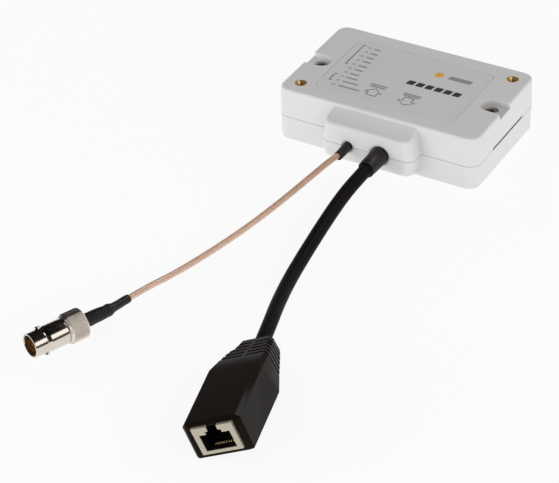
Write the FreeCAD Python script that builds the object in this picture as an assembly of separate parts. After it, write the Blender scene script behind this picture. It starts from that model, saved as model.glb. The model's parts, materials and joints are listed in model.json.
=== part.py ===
import FreeCAD, Part
import math
import os
from FreeCAD import Placement, Rotation, Vector

# Power over coax adapter: a two-shell moulded box with a coax pigtail that ends in a bayonet jack
# and a network pigtail that ends in a shielded eight-pole jack. Millimetres, Z up, the cables leave
# towards -Y, and the origin is under the middle of the housing.

# Housing, outside sizes at the parting plane
housing_length = 90.4
housing_depth = 57.4
housing_height = 24.0
parting_height = 10.8
draft_angle = 1.0
corner_radius = 5.0
edge_round = 0.9
wall = 2.0

# Cable nose on the front: hipped sides, a hollow top slope and a straight bottom slope
nose_width = 42.4
nose_reach = 8.4
nose_corner_radius = 4.0
nose_side_slope = 12.0
nose_drop_at_housing = 1.6
nose_drop_at_front = 4.2
nose_top_hollow = 0.5
nose_bottom_at_housing = 1.3
nose_bottom_at_front = 3.9
nose_edge_round = 1.3

# Lap joint and prying slot
lip_height = 1.5
lip_thickness = 1.0
lip_clearance = 0.15
slot_length = 28.0
slot_height = 0.8
slot_depth = 1.3
slot_centre_y = 5.7
seam_height = 0.2
seam_depth = 0.35

# Screw pockets at the two ends, and the screws in them
pocket_width = 9.0
pocket_depth = 2.1
pocket_inset = 6.3
pocket_y = 2.8
pocket_mouth_round = 1.4
pocket_wall = 1.6
counterbore_diameter = 6.0
counterbore_depth = 2.4
screw_clearance_hole = 3.4
screw_diameter = 2.9
screw_hole_clearance = 0.05
screw_head_diameter = 5.5
screw_head_height = 1.9
screw_length = 16.0
screw_boss_diameter = 7.2
drive_recess_size = 3.0
drive_recess_slot = 0.9
drive_recess_depth = 1.1

# Brass thread inserts at two opposite corners
insert_inset_x = 7.3
insert_inset_y = 7.5
insert_diameter = 5.0
insert_length = 6.0
insert_bore = 2.5
insert_sink = 0.1
insert_clearance = 0.05
insert_boss_wall = 1.7
insert_waist_depth = 0.4
insert_mouth_chamfer = 0.4
insert_well_bore = 3.2
insert_well_depth = 1.5

# Printed label panel in its shallow recess
label_length = 63.0
label_depth = 41.2
label_centre_x = -0.9
label_thickness = 0.3
label_recess = 0.4
label_gap = 0.15
label_corner_radius = 3.0

# Indicator lamps and their light pipes
lamp_count = 10
lamp_pitch = 3.61
lamp_x = -25.6
lamp_first_y = -11.7
light_pipe_diameter = 2.0
light_pipe_clearance = 0.1
light_pipe_bar_width = 3.0
light_pipe_bar_height = 1.4
lamp_size = 1.6
lamp_height = 0.7
lamp_gap = 0.3

# Circuit board and what it stands on
standoff_height = 2.6
standoff_diameter = 5.5
standoff_inset_x = 8.4
standoff_inset_y = 6.8
board_thickness = 1.6
board_clearance = 0.9
board_corner_radius = 3.0
board_boss_clearance = 0.8
board_screw_diameter = 2.0
board_screw_head = 4.2
board_screw_head_height = 1.5
board_screw_length = 4.0
board_screw_clearance = 0.05

# Parts on the board: length, depth and height, and the middle of each
power_core_size = (20.0, 17.0, 13.0)
power_core_place = (19.0, 15.5)
power_core_window = 5.0
power_coil_clearance = 0.2
signal_transformer_size = (15.0, 12.0, 6.2)
signal_transformer_place = (7.0, -5.0)
processor_size = (14.0, 14.0, 1.4)
processor_place = (-12.0, 8.0)
line_driver_size = (9.0, 9.0, 1.2)
line_driver_place = (-13.0, -8.0)
inductor_size = (12.0, 12.0, 7.0)
inductor_place = (-1.5, 21.0)
inductor_corner_radius = 3.0
inductor_edge_round = 1.0
capacitor_diameter = 8.0
capacitor_height = 12.5
capacitor_base_height = 1.0
capacitor_can_inset = 0.2
capacitor_top_round = 0.8
capacitor_waist_height = 0.8
capacitor_waist_depth = 0.4
capacitor_clearance = 1.5
capacitor_inset_y = 11.0
capacitor_step = (9.0, 4.5)
arrester_diameter = 5.5
arrester_length = 6.0
arrester_place = (-20.5, -16.5)
arrester_clearance = 0.1
header_size = (18.0, 6.0, 6.5)
coax_clip_size = (7.0, 5.0, 5.0)
coax_clip_sheet = 0.5
part_chamfer = 0.5
front_row_y = -17.5

# Cable sleeves held by the nose
coax_exit_x = -8.0
coax_sleeve_diameter = 3.9
coax_sleeve_reach = 8.1
coax_flange_diameter = 6.4
network_exit_x = 6.5
network_sleeve_diameter = 7.5
network_sleeve_reach = 11.7
network_flange_diameter = 9.4
sleeve_flange_thickness = 2.0
sleeve_clearance = 0.1
sleeve_tail = 2.5
sleeve_end_lip = 0.4
coax_sleeve_bore_depth = 2.5
network_sleeve_bore_depth = 3.0
exit_dish = 0.8
exit_dish_depth = 0.6

# Cables: diameters, first runs straight out of their sleeves, and the points that follow, as X and Y
# from the route's start and height above the table. The last point of each lies on its jack's axis.
coax_diameter = 2.5
coax_first_run = 6.5
coax_route_steps = ((-3.9, -17.0, 9.3), (-7.9, -34.0, 6.6), (-13.6, -53.5, 3.3), (-19.7, -75.0, 1.4),
                    (-24.0, -92.0, 1.5), (-26.3, -106.0, 3.9))
coax_joint_step = (-29.8, -127.1)
network_cable_diameter = 5.4
network_first_run = 8.5
network_route_steps = ((-0.9, -20.0, 9.3), (-0.1, -36.5, 7.5), (2.5, -58.5, 6.15), (6.2, -77.5, 6.6),
                       (11.4, -96.0, 9.0))
network_end_step = (19.64, -122.39)
network_last_run = 13.0
wire_diameter = 1.0
wire_first_run = 2.0
wire_pair_spread = 1.4
coax_core_diameter = 1.5
rest_clearance = 0.01

# Bayonet jack on the coax: heading, barrel, lugs and knurled collar
coax_jack_heading = (-0.393, -0.919, 0.0)
barrel_diameter = 9.65
barrel_bore = 8.1
barrel_length = 15.0
barrel_bore_depth = 9.0
barrel_step_at = 7.6
barrel_step_height = 0.25
lug_diameter = 2.0
lug_reach = 5.5
lug_from_mouth = 4.4
lug_tilt = 35.0
collar_diameter = 11.8
collar_length = 7.9
collar_shoulder_diameter = 10.7
collar_shoulder_length = 1.0
collar_chamfer = 0.5
spigot_diameter = 7.0
spigot_clearance = 0.05
insulator_diameter = 5.0
insulator_recess = 0.6
centre_contact_diameter = 2.1
centre_contact_bore = 1.0
centre_contact_recess = 1.2
contact_slot = 0.3
contact_slot_length = 5.0
contact_clearance = 0.05
ferrule_diameter = 4.4
ferrule_bore = 2.7
ferrule_length = 8.0
boot_start_diameter = 5.5
boot_thick_diameter = 5.2
boot_thick_length = 11.8
boot_bump_diameter = 4.8
boot_narrow_diameter = 3.4
boot_end_diameter = 3.1
boot_narrow_length = 11.0

# Network jack: heading, roll about its axis, and overmould sections from the front to the cable
network_jack_heading = (0.2371, -0.9715, 0.0)
jack_roll = 23.1
jack_body_length = 31.4
jack_shoulder_length = 7.6
jack_relief_length = 13.7
jack_bottom_bevel = 0.4
jack_front_chamfer = 1.2
jack_half_width = 10.9
jack_half_height = 7.4
jack_front_top_half = 9.5
jack_front_bevel_drop = 1.4
jack_back_top_half = 8.7
jack_back_bevel_half = 9.5
jack_back_bevel_drop = 2.4
relief_half_width = 9.05
relief_half_height = 5.9
relief_end_half_width = 6.55
relief_end_half_height = 3.7
relief_bevel = 1.0
relief_groove_count = 5
relief_groove_width = 0.95
relief_groove_depth = 1.1
relief_spine_width = 1.5

# Shield, insert and contacts of the network jack
shield_width = 16.0
shield_height = 11.3
shield_depth = 19.0
shield_sheet = 0.35
shield_proud = 1.2
shield_lift = 0.3
shield_clearance = 0.1
opening_width = 11.9
opening_height = 6.9
opening_bottom_margin = 1.25
opening_depth = 13.5
latch_step_width = 6.2
latch_step_height = 1.2
latch_slot_width = 4.0
latch_slot_height = 2.4
insert_block_depth = 15.5
contact_count = 8
contact_pitch = 1.02
contact_width = 0.5
contact_thickness = 0.3
contact_front_depth = 3.0
contact_start_depth = 5.6
contact_end_depth = 11.5
contact_low = 0.2
contact_high = 3.2

# Values that follow from the ones above
half_length = housing_length / 2
back_y = (housing_depth + nose_reach) / 2
front_y = back_y - housing_depth
nose_y = front_y - nose_reach
middle_y = (front_y + back_y) / 2
top_inside = housing_height - wall
board_bottom = wall + standoff_height
board_top = board_bottom + board_thickness
label_bottom = housing_height - label_recess
pocket_floor = housing_height - pocket_depth
screw_seat = pocket_floor - counterbore_depth
screw_x = half_length - pocket_inset
insert_x = half_length - insert_inset_x
insert_bottom = housing_height - insert_sink - insert_length
standoff_x = half_length - standoff_inset_x
standoff_front_y = front_y + standoff_inset_y
standoff_back_y = back_y - standoff_inset_y
jack_length = jack_body_length + jack_shoulder_length + jack_relief_length
coax_jack_height = collar_diameter / 2 + rest_clearance
network_jack_height = (jack_half_height * math.cos(math.radians(jack_roll)) + rest_clearance
                       + (jack_half_width - jack_bottom_bevel) * math.sin(math.radians(jack_roll)))


def rounded_outline(length, depth, radius, z, centre=(0, 0)):
    """Closed outline of a rectangle with round corners, lying at height z."""
    cx, cy = centre
    x, y = length / 2 - radius, depth / 2 - radius
    edges = []
    for quarter, (px, py) in enumerate(((x, y), (-x, y), (-x, -y), (x, -y))):
        middle = Vector(cx + px, cy + py, z)
        angles = [math.radians(90 * quarter + turn) for turn in (0, 45, 90)]
        points = [middle + Vector(math.cos(a), math.sin(a), 0) * radius for a in angles]
        edges.append(Part.Arc(*points).toShape())
    closed = []
    for edge, following in zip(edges, edges[1:] + edges[:1]):
        start, end = edge.lastVertex().Point, following.firstVertex().Point
        closed += [edge, Part.LineSegment(start, end).toShape()]
    return Part.Wire(closed)


def rounded_block(length, depth, radius, low, high, centre=(0, 0)):
    outline = rounded_outline(length, depth, radius, low, centre)
    return Part.Face(outline).extrude(Vector(0, 0, high - low))


def drafted_block(inset, wide_z, narrow_z):
    """Housing body from the parting plane to a face, drawn in by the draft angle."""
    draw_in = abs(narrow_z - wide_z) * math.tan(math.radians(draft_angle))
    wires = []
    for z, extra in ((wide_z, 0), (narrow_z, draw_in)):
        shrink = inset + extra
        wires.append(rounded_outline(housing_length - 2 * shrink, housing_depth - 2 * shrink,
                                     max(corner_radius - shrink, 0.5), z, (0, middle_y)))
    return Part.makeLoft(wires, True, True)


def extrude_profile(points, start_x, length):
    """Prism along X from an outline given as Y and Z pairs."""
    corners = [Vector(start_x, y, z) for y, z in points]
    return Part.Face(Part.makePolygon(corners + corners[:1])).extrude(Vector(length, 0, 0))


def cylinder(diameter, low, high, x, y):
    return Part.makeCylinder(diameter / 2, high - low, Vector(x, y, low))


def box(x, y, z, length, depth, height):
    """Box from its middle in X and Y and its lowest Z."""
    return Part.makeBox(length, depth, height, Vector(x - length / 2, y - depth / 2, z))


def fuse_all(shapes):
    joined = shapes[0].fuse(list(shapes[1:])) if len(shapes) > 1 else shapes[0]
    return joined.removeSplitter()


def round_edges(shape, radius, chosen):
    edges = [edge for edge in shape.Edges if chosen(edge)]
    return shape.makeFillet(radius, edges)


def at_height(z):
    return lambda edge: all(abs(vertex.Z - z) < 1e-4 for vertex in edge.Vertexes)


def nose_top(y):
    """Height of the nose's top at y: a hollow slope that runs on into the housing."""
    share = (y - nose_y) / nose_reach
    rise = nose_drop_at_front - nose_drop_at_housing
    return housing_height - nose_drop_at_front + rise * share - 4 * nose_top_hollow * share * (1 - share)


def nose_bottom(y):
    share = (y - nose_y) / nose_reach
    return nose_bottom_at_front - (nose_bottom_at_front - nose_bottom_at_housing) * share


def nose_half(inset, depth_inside, upper):
    """Upper or lower half of the cable nose: hipped sides up to a sloping top or bottom."""
    front, rear = nose_y + inset, front_y + depth_inside
    far_z = housing_height if upper else 0
    wires = []
    for z in (parting_height, far_z):
        half = nose_width / 2 - inset - abs(z - parting_height) * math.tan(math.radians(nose_side_slope))
        wires.append(rounded_outline(2 * half, 2 * (rear - front), max(nose_corner_radius - inset, 0.5), z,
                                     (0, rear)))
    slope, shift = (nose_top, -inset) if upper else (nose_bottom, inset)
    ways = [Vector(-nose_width, y, slope(y) + shift) for y in (front, (front + rear) / 2, rear)]
    curve = Part.Arc(*ways).toShape() if upper else Part.LineSegment(ways[0], ways[2]).toShape()
    base = Part.makePolygon([ways[2], Vector(-nose_width, rear, parting_height),
                             Vector(-nose_width, front, parting_height), ways[0]])
    profile = Part.Face(Part.Wire([curve] + base.Edges))
    return Part.makeLoft(wires, True, True).common(profile.extrude(Vector(2 * nose_width, 0, 0))).Solids[0]


def rounded_nose(upper):
    """Outer half nose with its slope rounded into its front, corners and sides."""
    rear = front_y + wall

    def outer_rim(edge):
        extent = edge.BoundBox
        clear = extent.ZMin - parting_height if upper else parting_height - extent.ZMax
        return clear > nose_edge_round and extent.YMin < rear - 1e-4
    return round_edges(nose_half(0, wall, upper), nose_edge_round, outer_rim)


def half_space(low, high):
    return box(0, middle_y, low, 2 * housing_length, 2 * housing_depth + 4 * nose_reach, high - low)


def cable_exits():
    """Round holes through the nose wall, dished on the outside, both on the parting plane."""
    cuts = []
    for x, diameter in ((coax_exit_x, coax_sleeve_diameter), (network_exit_x, network_sleeve_diameter)):
        radius = diameter / 2 + sleeve_clearance
        start = Vector(x, nose_y, parting_height)
        cuts.append(Part.makeCylinder(radius, 2 * wall, start, Vector(0, 1, 0)))
        cuts.append(Part.makeCone(radius + exit_dish, radius, exit_dish_depth, start, Vector(0, 1, 0)))
    return cuts


def screw_sides():
    return ((-1, -screw_x), (1, screw_x))


def pocket_cut(side, x):
    """U-shaped pocket open to the end of the housing, with a rounded mouth."""
    outer_x = side * (half_length + 1)
    height = housing_height - pocket_floor + 1
    edge_x = side * half_length
    cut = cylinder(pocket_width, pocket_floor, pocket_floor + height, x, pocket_y)
    cut = cut.fuse(box((x + outer_x) / 2, pocket_y, pocket_floor, abs(outer_x - x), pocket_width, height))
    for way in (-1, 1):
        corner = box(edge_x, pocket_y + way * (pocket_width / 2 + pocket_mouth_round / 2), pocket_floor,
                     2 * pocket_mouth_round, pocket_mouth_round, height)
        round_y = pocket_y + way * (pocket_width / 2 + pocket_mouth_round)
        round_x = edge_x - side * pocket_mouth_round
        corner = corner.cut(cylinder(2 * pocket_mouth_round, pocket_floor, pocket_floor + height,
                                     round_x, round_y))
        cut = cut.fuse(corner)
    return cut


def insert_places():
    return ((-insert_x, front_y + insert_inset_y), (insert_x, back_y - insert_inset_y))


def lamp_ys():
    return [lamp_first_y + number * lamp_pitch for number in range(lamp_count)]


def make_top_shell():
    outer = round_edges(drafted_block(0, parting_height, housing_height), edge_round,
                        at_height(housing_height))
    outer = outer.fuse(rounded_nose(True))
    cavity = drafted_block(wall, parting_height, top_inside)
    cavity = cavity.fuse(nose_half(wall, 2 * wall, True).common(half_space(parting_height, top_inside)))
    seam = half_space(parting_height, parting_height + seam_height)
    seam = seam.cut([drafted_block(seam_depth, parting_height, housing_height),
                     nose_half(seam_depth, 2 * wall, True)])
    shell = outer.cut([cavity, seam])
    inside_limit = drafted_block(wall / 2, parting_height, housing_height)
    additions = []
    for side, x in screw_sides():
        block_width = pocket_width + 2 * pocket_wall
        block = cylinder(block_width, screw_seat - pocket_wall, housing_height - wall / 2, x, pocket_y)
        end_x = side * half_length
        block = block.fuse(box((x + end_x) / 2, pocket_y, screw_seat - pocket_wall, abs(end_x - x),
                               block_width, top_inside + wall / 2 - screw_seat + pocket_wall))
        block = block.fuse(cylinder(screw_boss_diameter, parting_height, screw_seat, x, pocket_y))
        additions.append(block.common(inside_limit))
    for x, y in insert_places():
        boss = insert_diameter + 2 * insert_boss_wall
        low = insert_bottom - insert_well_depth - wall
        additions.append(cylinder(boss, low, housing_height - wall / 2, x, y).common(inside_limit))
    shell = shell.fuse(additions)
    cuts = cable_exits()
    for side, x in screw_sides():
        cuts.append(pocket_cut(side, x))
        cuts.append(cylinder(counterbore_diameter, screw_seat, housing_height, x, pocket_y))
        cuts.append(cylinder(screw_clearance_hole, parting_height - 1, housing_height, x, pocket_y))
    for x, y in insert_places():
        hole = insert_diameter + 2 * insert_clearance
        cuts.append(cylinder(hole, insert_bottom, housing_height + 1, x, y))
        cuts.append(cylinder(insert_well_bore, insert_bottom - insert_well_depth, housing_height, x, y))
    cuts.append(rounded_block(label_length + 2 * label_gap, label_depth + 2 * label_gap,
                              label_corner_radius + label_gap, label_bottom, housing_height + 1,
                              (label_centre_x, middle_y)))
    for y in lamp_ys():
        hole = light_pipe_diameter + 2 * light_pipe_clearance
        cuts.append(cylinder(hole, top_inside - 1, housing_height, lamp_x, y))
    cuts.append(box(half_length, slot_centre_y, parting_height, 2 * slot_depth, slot_length, slot_height))
    return shell.cut(cuts).removeSplitter()


def make_lip():
    """Raised lip inside the bottom shell's rim, open at the nose and at the screw pillars."""
    inset = wall + lip_clearance
    rim = rounded_block(housing_length - 2 * inset, housing_depth - 2 * inset,
                        max(corner_radius - inset, 0.5), parting_height - lip_height,
                        parting_height + lip_height, (0, middle_y))
    inner = inset + lip_thickness
    hollow = rounded_block(housing_length - 2 * inner, housing_depth - 2 * inner,
                           max(corner_radius - inner, 0.5), parting_height - 2 * lip_height,
                           parting_height + 2 * lip_height, (0, middle_y))
    root = drafted_block(wall - lip_clearance, parting_height, parting_height - lip_height)
    lip = rim.fuse(root).cut(hollow)
    low, tall = parting_height - 2 * lip_height, 4 * lip_height
    cuts = [box(0, front_y + wall, low, nose_width, 4 * wall, tall)]
    draft_room = lip_height * math.tan(math.radians(draft_angle))
    slim = drafted_block(inset + draft_room, parting_height, parting_height + lip_height)
    lip = lip.common(slim.fuse(half_space(0, parting_height)))
    for _, x in screw_sides():
        clear = pocket_width + 2 * pocket_wall + 1
        cuts.append(box(x, pocket_y, low, 2 * pocket_inset, clear, tall))
    return lip.cut(cuts)


def make_bottom_shell():
    outer = round_edges(drafted_block(0, parting_height, 0), edge_round, at_height(0))
    outer = outer.fuse(rounded_nose(False))
    cavity = drafted_block(wall, parting_height, wall)
    cavity = cavity.fuse(nose_half(wall, 2 * wall, False).common(half_space(wall, parting_height)))
    shell = outer.cut(cavity).fuse(make_lip())
    inside_limit = drafted_block(wall / 2, parting_height, 0)
    pillars = []
    for _, x in screw_sides():
        pillars.append(cylinder(screw_boss_diameter, wall / 2, parting_height, x, pocket_y))
    for x in (-standoff_x, standoff_x):
        for y in (standoff_front_y, standoff_back_y):
            pillars.append(cylinder(standoff_diameter, wall / 2, board_bottom, x, y))
    shell = shell.fuse([pillar.common(inside_limit) for pillar in pillars])
    cuts = cable_exits()
    for _, x in screw_sides():
        hole = screw_diameter + 2 * screw_hole_clearance
        cuts.append(cylinder(hole, screw_seat - screw_length - 0.5, housing_height, x, pocket_y))
    for x in (-standoff_x, standoff_x):
        for y in (standoff_front_y, standoff_back_y):
            hole = board_screw_diameter + 2 * board_screw_clearance
            low = board_top - board_screw_length - 0.3
            cuts.append(cylinder(hole, low, board_top, x, y))
    return shell.cut(cuts).removeSplitter()


def make_label():
    return rounded_block(label_length, label_depth, label_corner_radius, label_bottom,
                         label_bottom + label_thickness, (label_centre_x, middle_y))


def cross_recess(x, y, top, size, slot, depth):
    bars = [box(x, y, top - depth, size, slot, depth + 1), box(x, y, top - depth, slot, size, depth + 1)]
    return bars[0].fuse(bars[1])


def make_screw(x, y, seat, diameter, length, head, head_height):
    """Pan head screw with a cross recess, its head standing on the seat."""
    screw = cylinder(head, seat, seat + head_height, x, y)
    screw = round_edges(screw, head_height * 0.45, at_height(seat + head_height))
    screw = screw.fuse(cylinder(diameter, seat - length, seat, x, y))
    share = head / screw_head_diameter
    recess = cross_recess(x, y, seat + head_height, drive_recess_size * share,
                          drive_recess_slot * share, drive_recess_depth * share)
    return screw.cut(recess).removeSplitter()


def make_thread_insert(x, y):
    """Brass insert with two knurled bands left of full diameter and a waist between them."""
    insert = cylinder(insert_diameter, insert_bottom, insert_bottom + insert_length, x, y)
    waist_low = insert_bottom + insert_length * 0.4
    waist_high = insert_bottom + insert_length * 0.6
    waist = cylinder(insert_diameter + 1, waist_low, waist_high, x, y)
    waist = waist.cut(cylinder(insert_diameter - 2 * insert_waist_depth, waist_low, waist_high, x, y))
    bore = cylinder(insert_bore, insert_bottom - 1, housing_height + 1, x, y)
    mouth = Part.makeCone(insert_bore / 2, insert_bore / 2 + insert_mouth_chamfer, insert_mouth_chamfer,
                          Vector(x, y, insert_bottom + insert_length - insert_mouth_chamfer))
    return insert.cut([waist, bore, mouth])


def make_main_board():
    length = housing_length - 2 * (wall + board_clearance)
    depth = housing_depth - 2 * (wall + board_clearance)
    board = rounded_block(length, depth, board_corner_radius, board_bottom, board_top, (0, middle_y))
    cuts = []
    for side, x in screw_sides():
        notch = screw_boss_diameter + 2 * board_boss_clearance
        cuts.append(cylinder(notch, board_bottom, board_top, x, pocket_y))
        cuts.append(box(x + side * pocket_inset / 2, pocket_y, board_bottom, pocket_inset, notch,
                        board_thickness))
    for x in (-standoff_x, standoff_x):
        for y in (standoff_front_y, standoff_back_y):
            cuts.append(cylinder(board_screw_diameter + 0.4, board_bottom, board_top, x, y))
    return board.cut(cuts).removeSplitter()


def make_board_screws():
    screws = []
    for x in (-standoff_x, standoff_x):
        for y in (standoff_front_y, standoff_back_y):
            screws.append(make_screw(x, y, board_top, board_screw_diameter, board_screw_length,
                                     board_screw_head, board_screw_head_height))
    return Part.makeCompound(screws)


def make_light_pipes():
    """Ten light posts on one moulded bar that lies against the top shell."""
    ys = lamp_ys()
    bar_length = ys[-1] - ys[0] + light_pipe_bar_width
    pieces = [box(lamp_x, (ys[0] + ys[-1]) / 2, top_inside - light_pipe_bar_height,
                  light_pipe_bar_width, bar_length, light_pipe_bar_height)]
    low = board_top + lamp_height + lamp_gap
    for y in ys:
        pieces.append(cylinder(light_pipe_diameter, low, label_bottom, lamp_x, y))
    return fuse_all(pieces)


def make_lamps():
    return Part.makeCompound([box(lamp_x, y, board_top, lamp_size, lamp_size, lamp_height)
                              for y in lamp_ys()])


def chamfered_block(place, size, chamfer):
    block = box(place[0], place[1], board_top, *size)
    edges = [edge for edge in block.Edges if at_height(board_top + size[2])(edge)]
    return block.makeChamfer(chamfer, edges)


def make_power_core():
    """Ferrite core with two windows that the coil passes through."""
    x, y = power_core_place
    length, depth, height = power_core_size
    core = chamfered_block(power_core_place, power_core_size, part_chamfer)
    leg = (length - 2 * power_core_window) / 4
    windows = []
    for way in (-1, 1):
        windows.append(box(x + way * (leg + power_core_window / 2), y, board_top + leg,
                           power_core_window, depth + 1, height - 2 * leg))
    return core.cut(windows)


def make_power_coil():
    """Wound bobbin around the middle leg of the core, standing proud of it at both ends."""
    x, y = power_core_place
    length, depth, height = power_core_size
    leg = (length - 2 * power_core_window) / 4
    gap = power_coil_clearance
    width = 2 * (leg + power_core_window - gap)
    low = board_top + leg + gap
    tall = height - 2 * leg - 2 * gap
    reach = depth + 2 * (power_core_window - gap)
    coil = rounded_block(width, reach, power_core_window - gap, low, low + tall, (x, y))
    return coil.cut(box(x, y, low - 1, 2 * (leg + gap), depth + 2 * gap, tall + 2))


def make_inductor():
    x, y = inductor_place
    length, depth, height = inductor_size
    block = rounded_block(length, depth, inductor_corner_radius, board_top, board_top + height, (x, y))
    return round_edges(block, inductor_edge_round, at_height(board_top + height))


def make_capacitors():
    """Aluminium cans on square bases, with a crimped waist near the base."""
    cans = []
    first_x = network_exit_x + header_size[0] / 2 + capacitor_clearance + capacitor_diameter / 2
    for number in range(2):
        x = first_x + number * capacitor_step[0]
        y = front_y + capacitor_inset_y + number * capacitor_step[1]
        base = box(x, y, board_top, capacitor_diameter, capacitor_diameter, capacitor_base_height)
        can_diameter = capacitor_diameter - 2 * capacitor_can_inset
        can_bottom, can_top = board_top + capacitor_base_height, board_top + capacitor_height
        can = cylinder(can_diameter, can_bottom, can_top, x, y)
        can = round_edges(can, capacitor_top_round, at_height(can_top))
        low = can_bottom + capacitor_base_height
        high = low + capacitor_waist_height
        waist = cylinder(capacitor_diameter, low, high, x, y)
        waist = waist.cut(cylinder(can_diameter - 2 * capacitor_waist_depth, low, high, x, y))
        cans.append(base.fuse(can.cut(waist)).removeSplitter())
    return Part.makeCompound(cans)


def make_arrester():
    """Gas surge arrester lying on the board, with a flat under it for its solder pads."""
    x, y = arrester_place
    radius = arrester_diameter / 2
    start = Vector(x - arrester_length / 2, y, board_top + radius - arrester_clearance)
    body = Part.makeCylinder(radius, arrester_length, start, Vector(1, 0, 0))
    return body.common(box(x, y, board_top, arrester_length, 2 * arrester_diameter, arrester_diameter))


def make_wire_header():
    """Open-topped header that takes the four wire pairs of the network cable."""
    place = (network_exit_x, front_row_y)
    header = chamfered_block(place, header_size, part_chamfer)
    length, depth, height = header_size
    slot = box(place[0], place[1] - depth / 4, board_top + height / 2, length - 2, depth, height)
    return header.cut(slot)


def make_coax_clip():
    """Folded sheet clip that carries the coax braid down to the board."""
    x, y = coax_exit_x, front_row_y
    length, depth, height = coax_clip_size
    clip = box(x, y, board_top, length, depth, height)
    inside = box(x, y, board_top + coax_clip_sheet, length - 2 * coax_clip_sheet, depth + 1, height)
    return clip.cut(inside)


def make_cable_sleeve(x, diameter, reach, flange, cable_diameter, bore_depth):
    """Moulded sleeve that passes the nose wall, held by a flange behind it, its cable in a bore."""
    y = Vector(0, 1, 0)
    centre = Vector(x, nose_y, parting_height)
    inner = nose_y + wall
    sleeve = Part.makeCylinder(diameter / 2, reach + wall, centre - y * reach, y)
    tail = sleeve_flange_thickness + sleeve_tail
    collar = Part.makeCylinder(flange / 2, sleeve_flange_thickness, Vector(x, inner, parting_height), y)
    root = Part.makeCylinder(diameter / 2, tail, Vector(x, inner, parting_height), y)
    sleeve = fuse_all([sleeve, collar, root])
    front = [edge for edge in sleeve.Edges if abs(edge.BoundBox.YMax - (nose_y - reach)) < 1e-4]
    sleeve = sleeve.makeChamfer(sleeve_end_lip, front)
    bore = Part.makeCylinder(cable_diameter / 2 + sleeve_clearance, bore_depth, centre - y * reach, y)
    return sleeve.cut(bore)


def bent_path(points, print_name):
    """Straight runs joined by tangent arcs, each as large as its two runs allow."""
    edges, start, radii = [], points[0], []
    for before, corner, after in zip(points, points[1:], points[2:]):
        inward, outward = corner - before, after - corner
        half_turn = inward.getAngle(outward) / 2
        cut_back = 0.45 * min(inward.Length, outward.Length)
        radius = cut_back / math.tan(half_turn)
        inward.normalize()
        outward.normalize()
        begin, end = corner - inward * cut_back, corner + outward * cut_back
        to_centre = (outward - inward).normalize()
        centre = corner + to_centre * (radius / math.cos(half_turn))
        middle = centre - to_centre * radius
        edges.append(Part.LineSegment(start, begin).toShape())
        edges.append(Part.Arc(begin, middle, end).toShape())
        start = end
        radii.append(round(radius, 1))
    edges.append(Part.LineSegment(start, points[-1]).toShape())
    path = Part.Wire(edges)
    print(print_name, "length", round(path.Length, 1), "bend radii", radii)
    return path


def make_tube(points, diameter, name):
    """Round tube along a route, checked against its section times its length."""
    path = bent_path(points, name)
    circle = Part.Circle(points[0], points[1] - points[0], diameter / 2).toShape()
    tube = path.makePipeShell([Part.Wire([circle])], True, True)
    expected = math.pi * diameter ** 2 / 4 * path.Length
    print(name, "volume over section times length", round(tube.Volume / expected, 5))
    return tube


def route(start, first_run, steps):
    points = [start, start - Vector(0, first_run, 0)]
    return points + [Vector(start.x + x, start.y + y, z) for x, y, z in steps]


def coax_route():
    """Coax route up to the joint inside the boot, where the line of the jack begins."""
    start = Vector(coax_exit_x, nose_y - coax_sleeve_reach + coax_sleeve_bore_depth, parting_height)
    joint = coax_joint_step + (coax_jack_height,)
    return route(start, coax_first_run, coax_route_steps + (joint,))


def coax_cord_points():
    points = coax_route()
    last_run = (points[-1] - points[-2]).normalize()
    return points[:-1] + [points[-1] - last_run * boot_narrow_length]


def network_cord_points():
    start_y = nose_y - network_sleeve_reach + network_sleeve_bore_depth
    end = network_end_step + (network_jack_height,)
    points = route(Vector(network_exit_x, start_y, parting_height), network_first_run,
                   network_route_steps + (end,))
    heading = Vector(*network_jack_heading).normalize()
    return points[:-1] + [points[-1] - heading * network_last_run, points[-1]]


def make_wire_pairs():
    """Four insulated pairs from the network sleeve's tail down into the header."""
    start_y = nose_y + wall + sleeve_flange_thickness + sleeve_tail
    end_y = front_row_y - header_size[1] / 4
    low = board_top + header_size[2] / 2 + wire_diameter / 2
    tubes = []
    for number in range(4):
        spread = (number - 1.5) * wire_pair_spread
        start = Vector(network_exit_x + spread, start_y, parting_height)
        bend = start + Vector(0, wire_first_run, 0)
        down = Vector(network_exit_x + spread * 2.2, end_y - 2.4, low)
        end = Vector(network_exit_x + spread * 2.2, end_y + 1.0, low)
        tubes.append(make_tube([start, bend, down, end], wire_diameter, "wire pair"))
    return Part.makeCompound(tubes)


def make_coax_tail():
    """Stripped end of the coax from its sleeve to the clip on the board."""
    start_y = nose_y + wall + sleeve_flange_thickness + sleeve_tail
    low = board_top + coax_clip_sheet + coax_core_diameter / 2
    start = Vector(coax_exit_x, start_y, parting_height)
    points = [start, start + Vector(0, wire_first_run, 0), Vector(coax_exit_x, front_row_y - 2.0, low),
              Vector(coax_exit_x, front_row_y + 1.0, low)]
    return make_tube(points, coax_core_diameter, "coax tail")


def ring(outer, inner, start, length):
    """Tube along local Y, which points from a connector's mouth to its cable."""
    y = Vector(0, 1, 0)
    tube = Part.makeCylinder(outer / 2, length, Vector(0, start, 0), y)
    if inner > 0:
        tube = tube.cut(Part.makeCylinder(inner / 2, length, Vector(0, start, 0), y))
    return tube


def coax_jack_frame():
    """Place of the coax jack, the joint in its boot, and the directions of its cable and its mouth."""
    points = coax_route()
    joint = points[-1]
    last_run = (joint - points[-2]).normalize()
    heading = Vector(*coax_jack_heading).normalize()
    turn = Rotation(Vector(0, -1, 0), heading)
    return Placement(joint + heading * boot_thick_length, turn), joint, last_run, heading


def placed(shape, placement):
    moved = shape.copy()
    moved.Placement = placement.multiply(moved.Placement)
    return moved


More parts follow.
